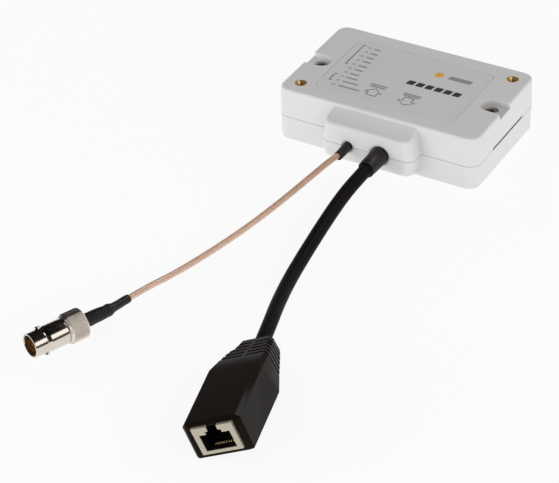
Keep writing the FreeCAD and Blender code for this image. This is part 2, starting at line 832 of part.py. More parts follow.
def make_coax_boot():
    """Shrunk sleeve: a thick part in line with the jack and a narrow one in line with the cable."""
    _, joint, last_run, heading = coax_jack_frame()
    thick = Part.makeCone(boot_thick_diameter / 2, boot_start_diameter / 2, boot_thick_length, joint, heading)
    bump = Part.makeSphere(boot_bump_diameter / 2, joint)
    narrow = Part.makeCone(boot_narrow_diameter / 2, boot_end_diameter / 2, boot_narrow_length, joint,
                           -last_run)
    boot = fuse_all([thick, bump, narrow])
    bore = Part.makeCylinder(ferrule_diameter / 2 + contact_clearance, ferrule_length,
                             joint + heading * (boot_thick_length - ferrule_length), heading)
    return boot.cut(bore)


def make_barrel():
    """Barrel with its bayonet lugs, a ring step half way and a spigot inside the collar."""
    mouth = -collar_length - barrel_length
    barrel = ring(barrel_diameter, 0, mouth, barrel_length)
    step_length = barrel_length - barrel_step_at
    step = ring(barrel_diameter + 2 * barrel_step_height, 0, mouth + barrel_step_at, step_length)
    spigot = ring(spigot_diameter, 0, -collar_length, collar_length)
    barrel = barrel.fuse([step, spigot])
    tilt = math.radians(lug_tilt)
    upward = Vector(-math.sin(tilt), 0, math.cos(tilt))
    middle = Vector(0, mouth + lug_from_mouth, 0)
    lugs = Part.makeCylinder(lug_diameter / 2, 2 * lug_reach, middle - upward * lug_reach, upward)
    barrel = barrel.fuse(lugs)
    bore = ring(barrel_bore, 0, mouth, barrel_bore_depth)
    seat = ring(insulator_diameter + 2 * contact_clearance, 0, mouth, barrel_length + collar_length / 2)
    wire_way = ring(centre_contact_diameter, 0, mouth, barrel_length + collar_length)
    return barrel.cut([bore, seat, wire_way]).removeSplitter()


def make_collar():
    """Knurled ring with a smooth shoulder towards the mouth."""
    body_length = collar_length - collar_shoulder_length
    body = ring(collar_diameter, 0, -body_length, body_length)
    rims = [edge for edge in body.Edges if edge.BoundBox.YLength < 1e-4]
    body = body.makeChamfer(collar_chamfer, rims)
    shoulder = ring(collar_shoulder_diameter, 0, -collar_length, collar_shoulder_length)
    bore = ring(spigot_diameter + 2 * spigot_clearance, 0, -collar_length, collar_length)
    return body.fuse(shoulder).cut(bore).removeSplitter()


def make_insulator():
    start = -collar_length - barrel_length + insulator_recess
    length = barrel_length + collar_length / 2 - insulator_recess
    bore = centre_contact_diameter + 2 * contact_clearance
    return ring(insulator_diameter, bore, start, length)


def make_centre_contact():
    """Slotted socket contact down the middle of the insulator."""
    start = -collar_length - barrel_length + centre_contact_recess
    length = barrel_length + collar_length / 2 - centre_contact_recess
    contact = ring(centre_contact_diameter, 0, start, length)
    hollow = ring(centre_contact_bore, 0, start, barrel_length / 2)
    slots = [Part.makeBox(contact_slot, contact_slot_length, centre_contact_diameter,
                          Vector(-contact_slot / 2, start, -centre_contact_diameter / 2)),
             Part.makeBox(centre_contact_diameter, contact_slot_length, contact_slot,
                          Vector(-centre_contact_diameter / 2, start, -contact_slot / 2))]
    return contact.cut([hollow] + slots)


def make_ferrule():
    return ring(ferrule_diameter, ferrule_bore, 0, ferrule_length)


def network_jack_frame():
    """Place of the network jack: its rear on the end of the cable, rolled about its axis."""
    turn = Rotation(Vector(0, -1, 0), Vector(*network_jack_heading).normalize())
    roll = Rotation(Vector(0, 1, 0), -jack_roll)
    return Placement(network_cord_points()[-1], turn.multiply(roll))


def jack_section(y, top_half, top_z, bevel_half, bevel_z, bottom_half, bottom_z, bottom_bevel):
    """Overmould outline across the jack: bevelled at the top, small bevels at the bottom."""
    half = ((top_half, top_z), (bevel_half, bevel_z), (bottom_half, bottom_z + bottom_bevel),
            (bottom_half - bottom_bevel, bottom_z))
    points = [Vector(x, y, z) for x, z in half] + [Vector(-x, y, z) for x, z in reversed(half)]
    return Part.makePolygon(points + points[:1])


def relief_section(y, share, inset):
    """Outline of the ribbed part, share 0 at the body and 1 at the cable."""
    half_width = relief_half_width + share * (relief_end_half_width - relief_half_width) - inset
    half_height = relief_half_height + share * (relief_end_half_height - relief_half_height) - inset
    bevel = relief_bevel
    return jack_section(y, half_width - 1.1 * bevel, half_height, half_width - 0.2 * bevel,
                        half_height - 1.7 * bevel, half_width, -half_height, 0.6 * bevel)


def make_jack_housing():
    """Overmould: bevelled body, sloping shoulder and a tapered relief of ribs joined by a spine."""
    front = -jack_length
    body_end = front + jack_body_length
    relief_start = -jack_relief_length
    low = -jack_half_height
    bevel = jack_bottom_bevel
    cut = jack_front_chamfer
    rim = jack_section(front, jack_front_top_half - cut / 2, jack_half_height - cut, jack_half_width - cut,
                       jack_half_height - jack_front_bevel_drop - cut / 2, jack_half_width - cut,
                       low + cut / 2, bevel)
    full = jack_section(front + cut, jack_front_top_half, jack_half_height, jack_half_width,
                        jack_half_height - jack_front_bevel_drop, jack_half_width, low, bevel)
    rear = jack_section(body_end, jack_back_top_half, jack_half_height, jack_back_bevel_half,
                        jack_half_height - jack_back_bevel_drop, jack_half_width, low, bevel)
    pieces = [Part.makeLoft([rim, full], True, True), Part.makeLoft([full, rear], True, True),
              Part.makeLoft([rear, relief_section(relief_start, 0, 0)], True, True)]
    relief = Part.makeLoft([relief_section(relief_start, 0, 0), relief_section(0, 1, 0)], True, True)
    core = Part.makeLoft([relief_section(relief_start, 0, relief_groove_depth),
                          relief_section(0, 1, relief_groove_depth)], True, True)
    spine = box(0, relief_start / 2, -jack_half_height, relief_spine_width, jack_relief_length,
                2 * jack_half_height)
    core = core.fuse(spine)
    pitch = jack_relief_length / (relief_groove_count + 0.6)
    grooves = []
    for number in range(relief_groove_count):
        y = relief_start + (number + 0.1) * pitch + relief_groove_width / 2
        slab = box(0, y, -jack_half_height, 2 * jack_half_width, relief_groove_width, 2 * jack_half_height)
        grooves.append(slab.cut(core))
    overmould = fuse_all(pieces + [relief]).cut(grooves)
    pocket = box(0, front - 1 + (shield_depth - shield_proud + shield_clearance + 1) / 2,
                 shield_lift - shield_height / 2 - shield_clearance, shield_width + 2 * shield_clearance,
                 shield_depth - shield_proud + shield_clearance + 1, shield_height + 2 * shield_clearance)
    return overmould.cut(pocket)


def opening_outline(y, bottom):
    """Socket outline with the stepped latch notch above it."""
    top = bottom + opening_height
    step_top = top + latch_step_height
    half = ((opening_width / 2, bottom), (opening_width / 2, top), (latch_step_width / 2, top),
            (latch_step_width / 2, step_top), (latch_slot_width / 2, step_top),
            (latch_slot_width / 2, step_top + latch_slot_height))
    points = [Vector(x, y, z) for x, z in half] + [Vector(-x, y, z) for x, z in reversed(half)]
    return Part.Face(Part.makePolygon(points + points[:1]))


def opening_cut(start, depth):
    bottom = shield_lift - shield_height / 2 + opening_bottom_margin
    return opening_outline(start, bottom).extrude(Vector(0, depth, 0))


def make_jack_shield():
    """Folded sheet can, open at the back, its front frame round the socket."""
    front = -jack_length - shield_proud
    low = shield_lift - shield_height / 2
    can = box(0, front + shield_depth / 2, low, shield_width, shield_depth, shield_height)
    sheet = shield_sheet
    hollow = box(0, front + sheet + shield_depth / 2, low + sheet, shield_width - 2 * sheet, shield_depth,
                 shield_height - 2 * sheet)
    return can.cut([hollow, opening_cut(front - 1, sheet + 2)])


def make_jack_insert():
    """Plastic block inside the can with the socket cavity and a comb under the contacts."""
    front = -jack_length - shield_proud + shield_sheet
    inset = shield_sheet + contact_clearance
    low = shield_lift - shield_height / 2 + inset
    block = box(0, front + insert_block_depth / 2, low, shield_width - 2 * inset, insert_block_depth,
                shield_height - 2 * inset)
    return block.cut(opening_cut(front - 1, opening_depth + 1))


def make_jack_contacts():
    """Eight spring contacts that lie on the socket's floor at the front and slant up towards its back."""
    front = -jack_length - shield_proud + shield_sheet
    floor = shield_lift - shield_height / 2 + opening_bottom_margin
    thick = contact_thickness
    low, high = floor + contact_low, floor + contact_high
    start, end = front + contact_start_depth, front + contact_end_depth
    back = front + opening_depth
    outline = ((front + contact_front_depth, floor), (start + 4 * thick, floor),
               (start + 4 * thick, low + thick), (end, high - thick), (back, high - thick),
               (back, high), (end, high), (start, low), (front + contact_front_depth, low))
    wires = []
    for number in range(contact_count):
        x = (number - (contact_count - 1) / 2) * contact_pitch
        wires.append(extrude_profile(outline, x - contact_width / 2, contact_width))
    return Part.makeCompound(wires)


def save(name, shape):
    if not shape.isValid():
        print("not valid:", name)
    shape.exportStep("parts/" + name + ".step")
    extent = shape.BoundBox
    print(name, len(shape.Solids), "solids", round(shape.Volume, 2), "mm3, z from", round(extent.ZMin, 3))


def main():
    os.makedirs("parts", exist_ok=True)
    save("bottom_shell", make_bottom_shell())
    save("top_shell", make_top_shell())
    save("label_panel", make_label())
    for name, x in (("left_screw", -screw_x), ("right_screw", screw_x)):
        save(name, make_screw(x, pocket_y, screw_seat, screw_diameter, screw_length, screw_head_diameter,
                              screw_head_height))
    for name, (x, y) in zip(("front_thread_insert", "rear_thread_insert"), insert_places()):
        save(name, make_thread_insert(x, y))
    save("main_board", make_main_board())
    save("board_screws", make_board_screws())
    save("light_pipes", make_light_pipes())
    save("indicator_lamps", make_lamps())
    save("power_transformer_core", make_power_core())
    save("power_transformer_coil", make_power_coil())
    save("signal_transformer", chamfered_block(signal_transformer_place, signal_transformer_size,
                                               part_chamfer))
    save("processor_chip", chamfered_block(processor_place, processor_size, part_chamfer / 2))
    save("line_driver_chip", chamfered_block(line_driver_place, line_driver_size, part_chamfer / 2))
    save("power_inductor", make_inductor())
    save("storage_capacitors", make_capacitors())
    save("surge_arrester", make_arrester())
    save("wire_header", make_wire_header())
    save("coax_clip", make_coax_clip())
    save("coax_sleeve", make_cable_sleeve(coax_exit_x, coax_sleeve_diameter, coax_sleeve_reach,
                                          coax_flange_diameter, coax_diameter, coax_sleeve_bore_depth))
    save("network_sleeve", make_cable_sleeve(network_exit_x, network_sleeve_diameter, network_sleeve_reach,
                                             network_flange_diameter, network_cable_diameter,
                                             network_sleeve_bore_depth))
    save("wire_pairs", make_wire_pairs())
    save("coax_tail", make_coax_tail())
    save("coax_cord", make_tube(coax_cord_points(), coax_diameter, "coax cord"))
    save("network_cord", make_tube(network_cord_points(), network_cable_diameter, "network cord"))
    coax_place = coax_jack_frame()[0]
    save("coax_jack_boot", make_coax_boot())
    for name, shape in (("coax_jack_barrel", make_barrel()), ("coax_jack_collar", make_collar()),
                        ("coax_jack_insulator", make_insulator()),
                        ("coax_jack_contact", make_centre_contact()), ("coax_jack_ferrule", make_ferrule())):
        save(name, placed(shape, coax_place))
    network_place = network_jack_frame()
    for name, shape in (("network_jack_housing", make_jack_housing()),
                        ("network_jack_shield", make_jack_shield()),
                        ("network_jack_insert", make_jack_insert()),
                        ("network_jack_contacts", make_jack_contacts())):
        save(name, placed(shape, network_place))


main()
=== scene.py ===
import json
import math

import bmesh
import bpy
from mathutils import Matrix, Vector


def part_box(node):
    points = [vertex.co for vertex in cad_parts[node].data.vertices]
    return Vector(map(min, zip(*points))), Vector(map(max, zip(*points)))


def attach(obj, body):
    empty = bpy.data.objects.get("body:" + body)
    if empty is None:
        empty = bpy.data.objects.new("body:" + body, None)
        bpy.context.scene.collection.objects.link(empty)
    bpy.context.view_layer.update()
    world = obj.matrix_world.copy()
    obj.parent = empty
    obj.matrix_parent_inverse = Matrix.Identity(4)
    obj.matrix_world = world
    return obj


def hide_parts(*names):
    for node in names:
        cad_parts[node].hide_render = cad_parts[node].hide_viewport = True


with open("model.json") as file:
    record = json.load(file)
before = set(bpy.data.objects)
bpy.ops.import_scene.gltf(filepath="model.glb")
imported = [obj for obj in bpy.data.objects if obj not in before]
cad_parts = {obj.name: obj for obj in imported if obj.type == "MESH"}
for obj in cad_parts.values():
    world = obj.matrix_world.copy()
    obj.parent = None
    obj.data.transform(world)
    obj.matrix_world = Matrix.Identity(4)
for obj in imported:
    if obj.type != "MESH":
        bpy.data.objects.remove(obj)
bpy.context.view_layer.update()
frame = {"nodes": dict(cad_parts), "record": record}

scene = bpy.context.scene
nodes = frame["nodes"]
mm = 0.001
weldGap = 1e-6  # metres


# Small helpers for objects

def newObject(name, mesh):
    made = bpy.data.objects.new(name, mesh)
    scene.collection.objects.link(made)
    return made


def meshFrom(name, corners, faces):  # corners in metres
    mesh = bpy.data.meshes.new(name)
    mesh.from_pydata([tuple(c) for c in corners], [], faces)
    mesh.update()
    return mesh


def meshOf(name, built):  # what a bmesh holds, as a mesh
    mesh = bpy.data.meshes.new(name)
    built.to_mesh(mesh)
    built.free()
    return mesh


def finishPiece(piece, slot, replaced=(), material=None):  # every piece rides on the one body
    piece.data.materials.clear()
    piece.data.materials.append(material or finishes[slot])
    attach(piece, "root")
    if replaced:
        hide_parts(*replaced)
    return piece


def shadeSmooth(mesh, sharpAngle):
    mesh.shade_smooth()
    mesh.set_sharp_from_angle(angle=math.radians(sharpAngle))
    return mesh


def applied(piece):  # the evaluated shape as a plain mesh, with the modifiers gone
    graph = bpy.context.evaluated_depsgraph_get()
    mesh = bpy.data.meshes.new_from_object(piece.evaluated_get(graph))
    piece.modifiers.clear()
    old, piece.data = piece.data, mesh
    mesh.name = piece.name
    if old.users == 0:
        bpy.data.meshes.remove(old)
    return piece


def frameAt(origin, across, along):  # a local frame: x across, y along, z up from both
    across, along = Vector(across).normalized(), Vector(along).normalized()
    upward = across.cross(along)
    turned = Matrix((across, along, upward)).transposed().to_4x4()
    turned.translation = Vector(origin) * mm
    return turned


def turnedPart(name, profile, seat, steps, sharpAngle=32):  # profile: (along, radius) in mm
    corners, faces = [], []
    for along, radius in profile:
        for i in range(steps):
            angle = 2 * math.pi * i / steps
            spot = Vector((radius * math.sin(angle), along, radius * math.cos(angle))) * mm
            corners.append(seat @ spot)
    count = len(profile)
    for row in range(count if profile[0] == profile[-1] else count - 1):
        for i in range(steps):
            j, nextRow = (i + 1) % steps, (row + 1) % count
            faces.append((row * steps + i, row * steps + j, nextRow * steps + j, nextRow * steps + i))
    mesh = meshFrom(name, corners, faces)
    cleaned = bmesh.new()
    cleaned.from_mesh(mesh)
    bmesh.ops.remove_doubles(cleaned, verts=cleaned.verts, dist=weldGap)
    bmesh.ops.holes_fill(cleaned, edges=cleaned.edges, sides=steps)
    bmesh.ops.recalc_face_normals(cleaned, faces=cleaned.faces)
    cleaned.to_mesh(mesh)
    cleaned.free()
    return newObject(name, shadeSmooth(mesh, sharpAngle))


def rounded(profile, radius, steps):  # softens the corners of a turned profile
    out = [profile[0]]
    for before, corner, after in zip(profile, profile[1:], profile[2:]):
        a, b, c = Vector(before), Vector(corner), Vector(after)
        reach = min(radius, (a - b).length * 0.45, (c - b).length * 0.45)
        start, end = b + (a - b).normalized() * reach, b + (c - b).normalized() * reach
        for k in range(steps + 1):
            t = k / steps
            point = start * (1 - t) ** 2 + b * 2 * t * (1 - t) + end * t ** 2
            out.append((point.x, point.y))
    out.append(profile[-1])
    return out


def mergedCopy(name, solid):  # a CAD solid's own shape, welded, with its flat faces joined
    merged = bmesh.new()
    merged.from_mesh(solid.data)
    bmesh.ops.remove_doubles(merged, verts=merged.verts, dist=weldGap)
    bmesh.ops.dissolve_limit(merged, angle_limit=math.radians(1.5), verts=merged.verts, edges=merged.edges)
    return newObject(name, meshOf(name, merged))


def rollEdges(piece, width, angle, segments):  # rounds a moulding's edges and keeps its flats flat
    piece.data.shade_smooth()
    bevel = piece.modifiers.new("rolledEdges", "BEVEL")
    bevel.width, bevel.segments = width * mm, segments
    bevel.limit_method, bevel.angle_limit = "ANGLE", math.radians(angle)
    bevel.use_clamp_overlap = True
    piece.modifiers.new("flatFaces", "WEIGHTED_NORMAL").keep_sharp = True
    return applied(piece)


# Node trees: one class wraps a socket so that sums are written as plain expressions

class Signal:
    def __init__(self, board, socket):
        self.board, self.socket = board, socket

    def math(self, operation, *values):
        return self.board.node("ShaderNodeMath", {"operation": operation}, dict(enumerate(values)))

    def __add__(self, other): return self.math("ADD", self, other)
    def __sub__(self, other): return self.math("SUBTRACT", self, other)
    def __rsub__(self, other): return self.math("SUBTRACT", other, self)
    def __mul__(self, other): return self.math("MULTIPLY", self, other)
    def __truediv__(self, other): return self.math("DIVIDE", self, other)
    def __gt__(self, other): return self.math("GREATER_THAN", self, other)
    def __lt__(self, other): return self.math("LESS_THAN", self, other)
    def __abs__(self): return self.math("ABSOLUTE", self)
    def sine(self): return self.math("SINE", self)
    def cosine(self): return self.math("COSINE", self)
    def whole(self): return self.math("FLOOR", self)
    def highest(self, other): return self.math("MAXIMUM", self, other)
    def lowest(self, other): return self.math("MINIMUM", self, other)
    def limited(self): return self.highest(0).lowest(1)
    __radd__, __rmul__ = __add__, __mul__


class Board:  # one tree: a material's, the world's or a Geometry Nodes group's
    def __init__(self, tree):
        self.tree = tree
        tree.nodes.clear()

    def pick(self, sockets, key):
        if isinstance(key, int):
            return sockets[key]
        return next(s for s in sockets if key in (s.identifier, s.name))

    def node(self, kind, settings=None, sockets=None, output=0):
        made = self.tree.nodes.new(kind)
        for key, value in (settings or {}).items():
            setattr(made, key, value)
        for key, value in (sockets or {}).items():
            target = self.pick(made.inputs, key)
            if isinstance(value, Signal):
                self.tree.links.new(value.socket, target)
            else:
                target.default_value = value
        return Signal(self, self.pick(made.outputs, output)) if made.outputs else made

    def other(self, signal, key):  # another output of the node behind a signal
        return Signal(self, self.pick(signal.socket.node.outputs, key))

    def mix(self, factor, first, second):
        return self.node("ShaderNodeMix", {"data_type": "RGBA"},
                         {"Factor_Float": factor, "A_Color": first, "B_Color": second}, "Result_Color")

    def place(self):
        return self.node("ShaderNodeTexCoord", output="Object")

    def placeAlong(self, heading):  # how far a point lies along a heading, in metres
        return self.node("ShaderNodeVectorMath", {"operation": "DOT_PRODUCT"},
                         {0: self.place(), 1: heading}, "Value")

    def cordPlace(self):  # a swept tube's own UV: turns round it, and metres along it
        around = self.node("ShaderNodeSeparateXYZ", {}, {0: self.node("ShaderNodeTexCoord", output="UV")})
        return around, self.other(around, "Y")

    def noise(self, scale, detail, roughness):
        return self.node("ShaderNodeTexNoise", {},
                         {"Vector": self.place(), "Scale": scale, "Detail": detail, "Roughness": roughness})

    def bump(self, height, distance, strength):
        return self.node("ShaderNodeBump", {},
                         {"Height": height, "Distance": distance, "Strength": strength}, "Normal")

    def surface(self, **sockets):
        named = {key.replace("_", " "): value for key, value in sockets.items()}
        shader = self.node("ShaderNodeBsdfPrincipled", {}, named)
        self.node("ShaderNodeOutputMaterial", {}, {"Surface": shader})


def newMaterial(name):
    made = bpy.data.materials.new(name)
    made.use_nodes = True
    return made, Board(made.node_tree)


def shade(colour, factor):
    return (colour[0] * factor, colour[1] * factor, colour[2] * factor, 1.0)


# Camera: at the photograph's viewing angle

cameraView = {"place": (0.37465, -0.75186, 0.53679), "right": (0.87259, 0.48805, -0.01972),
              "up": (-0.26663, 0.50975, 0.81797), "lens": 154.56}


def makeCamera(view):
    data = bpy.data.cameras.new("photoCamera")
    data.lens, data.sensor_width = view["lens"], 36
    data.clip_start, data.clip_end = 0.05, 20
    camera = newObject("photoCamera", data)
    right, up = Vector(view["right"]), Vector(view["up"])
    pose = Matrix((right, up, right.cross(up))).transposed().to_4x4()
    pose.translation = view["place"]
    camera.matrix_world = pose
    scene.camera = camera


makeCamera(cameraView)
print("camera set")


# Cords: NURBS lines on the part's route points, some moved by up to 1 mm, with a tube along each

coaxCord = {"diameter": 0.0025, "length": 0.1207, "fineness": 24, "route": [
    (-0.0080, -0.0385, 0.0108), (-0.0087, -0.0450, 0.0115), (-0.0113, -0.0558, 0.0096),
    (-0.0154, -0.0725, 0.0066), (-0.0211, -0.0920, 0.0031), (-0.0273, -0.1135, 0.0014),
    (-0.0318, -0.1305, 0.0015), (-0.0343, -0.1445, 0.0039), (-0.036008, -0.154795, 0.004881)]}
networkCord = {"diameter": 0.0056, "length": 0.1254, "fineness": 24, "route": [
    (0.0065, -0.0416, 0.0108), (0.0065, -0.0501, 0.0108), (0.0059, -0.0616, 0.0093),
    (0.0068, -0.0781, 0.0075), (0.0094, -0.1001, 0.00615), (0.0128, -0.1191, 0.0066),
    (0.01805, -0.1376, 0.0090), (0.02275, -0.151361, 0.010936), (0.02614, -0.16399, 0.010936)]}


def linePoints(name, route, fineness):  # points along the route's own NURBS line
    curve = bpy.data.curves.new(name, "CURVE")
    curve.dimensions = "3D"
    spline = curve.splines.new("NURBS")
    spline.points.add(len(route) - 1)
    for point, spot in zip(spline.points, route):
        point.co = (*spot, 1)
    spline.order_u = 3
    spline.use_endpoint_u = True
    spline.resolution_u = fineness
    line = newObject(name, curve)
    graph = bpy.context.evaluated_depsgraph_get()
    mesh = bpy.data.meshes.new_from_object(line.evaluated_get(graph))
    points = [v.co.copy() for v in mesh.vertices]
    bpy.data.objects.remove(line)
    bpy.data.meshes.remove(mesh)
    return points


def lengthsAlong(points):
    out = [0.0]
    for a, b in zip(points, points[1:]):
        out.append(out[-1] + (b - a).length)
    return out


def sweptTube(name, points, radiusAt, steps):  # a closed tube; UV: turns round it, and metres along it
    lengths = lengthsAlong(points)
    corners, faces = [], []
    side = Vector((0, 0, 1))
    for i, point in enumerate(points):
        heading = (points[min(i + 1, len(points) - 1)] - points[max(i - 1, 0)]).normalized()
        side = (side - heading * heading.dot(side)).normalized()
        other = heading.cross(side)
        for k in range(steps):
            angle = 2 * math.pi * k / steps
            radius = radiusAt(lengths[i], angle)
            corners.append(point + (side * math.cos(angle) + other * math.sin(angle)) * radius)
    for i in range(len(points) - 1):
        for k in range(steps):
            j = (k + 1) % steps
            faces.append((i * steps + k, i * steps + j, (i + 1) * steps + j, (i + 1) * steps + k))
    last = (len(points) - 1) * steps
    faces.append(tuple(range(steps - 1, -1, -1)))
    faces.append(tuple(last + k for k in range(steps)))
    mesh = meshFrom(name, corners, faces)
    layer = mesh.uv_layers.new(name="alongCord")
    for face in mesh.polygons:
        columns = [mesh.loops[n].vertex_index % steps for n in face.loop_indices]
        for n in face.loop_indices:
            row, column = divmod(mesh.loops[n].vertex_index, steps)
            if column == 0 and steps - 1 in columns and len(columns) == 4:
                column = steps
            layer.data[n].uv = (column / steps, lengths[row])
    return newObject(name, shadeSmooth(mesh, 50))


coaxPoints = linePoints("coaxLine", coaxCord["route"], coaxCord["fineness"])
networkPoints = linePoints("networkLine", networkCord["route"], networkCord["fineness"])
print("cord lines", round(lengthsAlong(coaxPoints)[-1], 4), round(lengthsAlong(networkPoints)[-1], 4))


# Finishes

mouldedGrey = {"colour": (0.660, 0.652, 0.645), "grain": 2600, "depth": 0.00002, "roughness": 0.52}
metalKinds = {
    "nickel": {"colour": (0.73, 0.665, 0.59), "roughness": 0.16, "grain": 900, "scratch": 0.05},
    "zinc_steel": {"colour": (0.62, 0.62, 0.60), "roughness": 0.34, "grain": 1200, "scratch": 0.10},
    "insert_brass": {"colour": (0.93, 0.62, 0.24), "roughness": 0.30, "grain": 1600, "scratch": 0.12,
                     "metallic": 0.8},
    "can_aluminium": {"colour": (0.78, 0.78, 0.79), "roughness": 0.35, "grain": 700, "scratch": 0.08},
    "clip_tin": {"colour": (0.72, 0.71, 0.69), "roughness": 0.30, "grain": 900, "scratch": 0.08},
    "gold": {"colour": (0.93, 0.70, 0.32), "roughness": 0.22, "grain": 1500, "scratch": 0.05,
             "metallic": 0.85},
    "ferrule_brass": {"colour": (0.74, 0.64, 0.44), "roughness": 0.30, "grain": 900, "scratch": 0.10},
    "shield_steel": {"colour": (0.50, 0.46, 0.36), "roughness": 0.46, "grain": 700, "scratch": 0.08,
                     "metallic": 0.6},
    "dark_steel": {"colour": (0.25, 0.20, 0.165), "roughness": 0.36, "grain": 1400, "scratch": 0.14,
                   "metallic": 0.7}}
plasticKinds = {
    "board_green": {"colour": (0.03, 0.16, 0.06), "roughness": 0.35, "grain": 800, "depth": 0.00002},
    "clear_plastic": {"colour": (0.46, 0.46, 0.45), "roughness": 0.20, "grain": 500, "depth": 0.00001},
    "lamp_white": {"colour": (0.82, 0.78, 0.55), "roughness": 0.30, "grain": 900, "depth": 0.00001},
    "ferrite": {"colour": (0.035, 0.035, 0.038), "roughness": 0.60, "grain": 1800, "depth": 0.00006},
    "coil_tape": {"colour": (0.60, 0.42, 0.05), "roughness": 0.40, "grain": 600, "depth": 0.00003},
    "chip_black": {"colour": (0.012, 0.012, 0.013), "roughness": 0.55, "grain": 2200, "depth": 0.00003},
    "arrester_white": {"colour": (0.76, 0.75, 0.70), "roughness": 0.25, "grain": 700, "depth": 0.00001},
    "header_white": {"colour": (0.72, 0.71, 0.62), "roughness": 0.45, "grain": 900, "depth": 0.00002},
    "wire_insulation": {"colour": (0.70, 0.30, 0.06), "roughness": 0.42, "grain": 900, "depth": 0.00002},
    "coax_insulation": {"colour": (0.80, 0.77, 0.70), "roughness": 0.45, "grain": 900, "depth": 0.00002},
    # painted shade: the insulator is white, but is coloured dark brown here because it lies in the jack's
    # shade
    "insulator_white": {"colour": (0.055, 0.026, 0.006), "roughness": 0.60, "grain": 900, "depth": 0.00001,
                        "specular": 0.0},
    "black_sleeve": {"colour": (0.0120, 0.0072, 0.0072), "roughness": 0.50, "grain": 1500, "depth": 0.00003,
                     "specular": 0.32},
    "overmould_black": {"colour": (0.0078, 0.0048, 0.0034), "roughness": 0.32, "grain": 1900,
                        "depth": 0.00003, "specular": 0.07},
    "insert_black": {"colour": (0.0060, 0.0050, 0.0040), "roughness": 0.55, "grain": 1500, "depth": 0.00002,
                     "specular": 0.25},
    "label_film": {"colour": (0.655, 0.647, 0.640), "roughness": 0.44, "grain": 1500, "depth": 0.00001}}
shadeRise = 1100  # per metre: a shade grows to its full depth over 0.9 mm


def mouldedSkin(board, colour, grain, depth, roughness):  # fine spark-eroded texture
    cloud, erosion = board.noise(45, 3, 0.55), board.noise(grain, 2, 0.6)
    tone = board.mix(cloud, shade(colour, 0.975), shade(colour, 1.025))
    rough = roughness + (cloud - 0.5) * 0.10 + (erosion - 0.5) * 0.08
    return tone, rough, board.bump(erosion, depth, 0.6)


def mouldedPlastic(name, colour, grain, depth, roughness=0.52, specular=0.5):
    made, board = newMaterial(name)
    tone, rough, normal = mouldedSkin(board, colour, grain, depth, roughness)
    board.surface(Base_Color=tone, Roughness=rough, Specular_IOR_Level=specular, Normal=normal)
    return made


def metal(name, colour, roughness, grain, scratch, metallic=1.0):  # plated or turned metal, faint marks
    made, board = newMaterial(name)
    cloud = board.noise(160, 3, 0.6)
    marks = board.noise(grain, 3, 0.7)
    tone = board.mix(cloud, shade(colour, 0.93), shade(colour, 1.04))
    board.surface(Base_Color=tone, Metallic=metallic,
                  Roughness=roughness + (cloud - 0.5) * 0.10 + (marks - 0.5) * scratch * 2,
                  Normal=board.bump(marks, 0.00001, 0.35))
    return made


braid = {"strands": 6, "pitch": 0.0085, "copper": ((0.20, 0.055, 0.02, 1), (0.60, 0.26, 0.125, 1)),
         "crossing": (1.0, 0.80, 0.64, 1),
         "root": (0.36, 0.13, 0.06, 1), "rootEnd": 0.055, "rootShare": 0.4}  # darker towards the housing


def braidUnderJacket(facts):  # copper and tinned strands that cross under a thin clear jacket
    made, board = newMaterial("braid_jacket")
    around, along = board.cordPlace()
    wave = 2 * math.pi * facts["strands"]
    right = (around * wave + along * (wave / facts["pitch"])).sine()
    left = (around * wave - along * (wave / facts["pitch"])).sine()
    overUnder, ridge = right * left, abs(right).highest(abs(left))
    glint = board.noise(420, 3, 0.6)
    copper = board.mix(glint, *facts["copper"])
    weave = board.mix((overUnder * 0.8 + 0.42).limited(), copper, facts["crossing"])
    nearRoot = ((facts["rootEnd"] - along) * 20).limited() * facts["rootShare"]
    weave = board.mix(nearRoot, weave, facts["root"])
    board.surface(Base_Color=weave, Roughness=0.30 + (glint - 0.5) * 0.2,
                  Metallic=(overUnder > 0.15) * 0.35, Coat_Weight=0.35, Coat_Roughness=0.16,
                  Normal=board.bump(ridge + glint * 0.4, 0.00012, 0.7))
    return made


cableSkin = {"lines": 34, "tones": ((0.0050, 0.0036, 0.0027, 1), (0.0092, 0.0068, 0.0052, 1)),
             "specular": 0.05, "sheen": 0.05, "sheenRoughness": 0.35}


def cableJacket(facts):  # matte black, with faint marks along it from the extruder
    made, board = newMaterial("cable_jacket")
    around = board.cordPlace()[0]
    cloud, fine = board.noise(90, 3, 0.6), board.noise(2400, 2, 0.6)
    lines = (around * (2 * math.pi * facts["lines"]) + cloud * 6).sine()
    board.surface(Base_Color=board.mix(cloud, *facts["tones"]),
                  Roughness=0.56 + (cloud - 0.5) * 0.16 + (fine - 0.5) * 0.1,
                  Specular_IOR_Level=facts["specular"], Sheen_Weight=facts["sheen"],
                  Sheen_Roughness=facts["sheenRoughness"],
                  Normal=board.bump(fine * 0.7 + lines * 0.08, 0.00003, 0.6))
    return made


# painted shade on the jack's contacts: a lit tone and a shaded tone of the gold, split by how far along the
# jack a point lies
contactPaintedShade = {"heading": (0.2371, -0.9715, 0.0), "frontFrom": 0.2152,
           "tones": ((0.012, 0.007, 0.003, 1), (1.0, 0.82, 0.38, 1)), "metallic": 0.45}


def contactGoldWithPaintedShade(facts):  # bright gold only on the contacts' front ends, and a painted shade, dark and not metallic, in the depth of the jack
    made, board = newMaterial("contact_gold_painted_shade")
    front = board.placeAlong(facts["heading"]) > facts["frontFrom"]
    cloud = board.noise(900, 2, 0.6)
    board.surface(Base_Color=board.mix(front, *facts["tones"]), Metallic=front * facts["metallic"],
                  Roughness=0.34 + (cloud - 0.5) * 0.15)
    return made


pocketShade = {"fromX": 0.0335, "y": 0.0028, "halfY": 0.0049, "floor": 0.0212, "rim": 0.0240, "share": 0.16}
slotShade = {"fromX": 0.0435, "y": 0.0057, "halfY": 0.0141, "z": 0.0112, "halfZ": 0.00058, "share": 0.55}


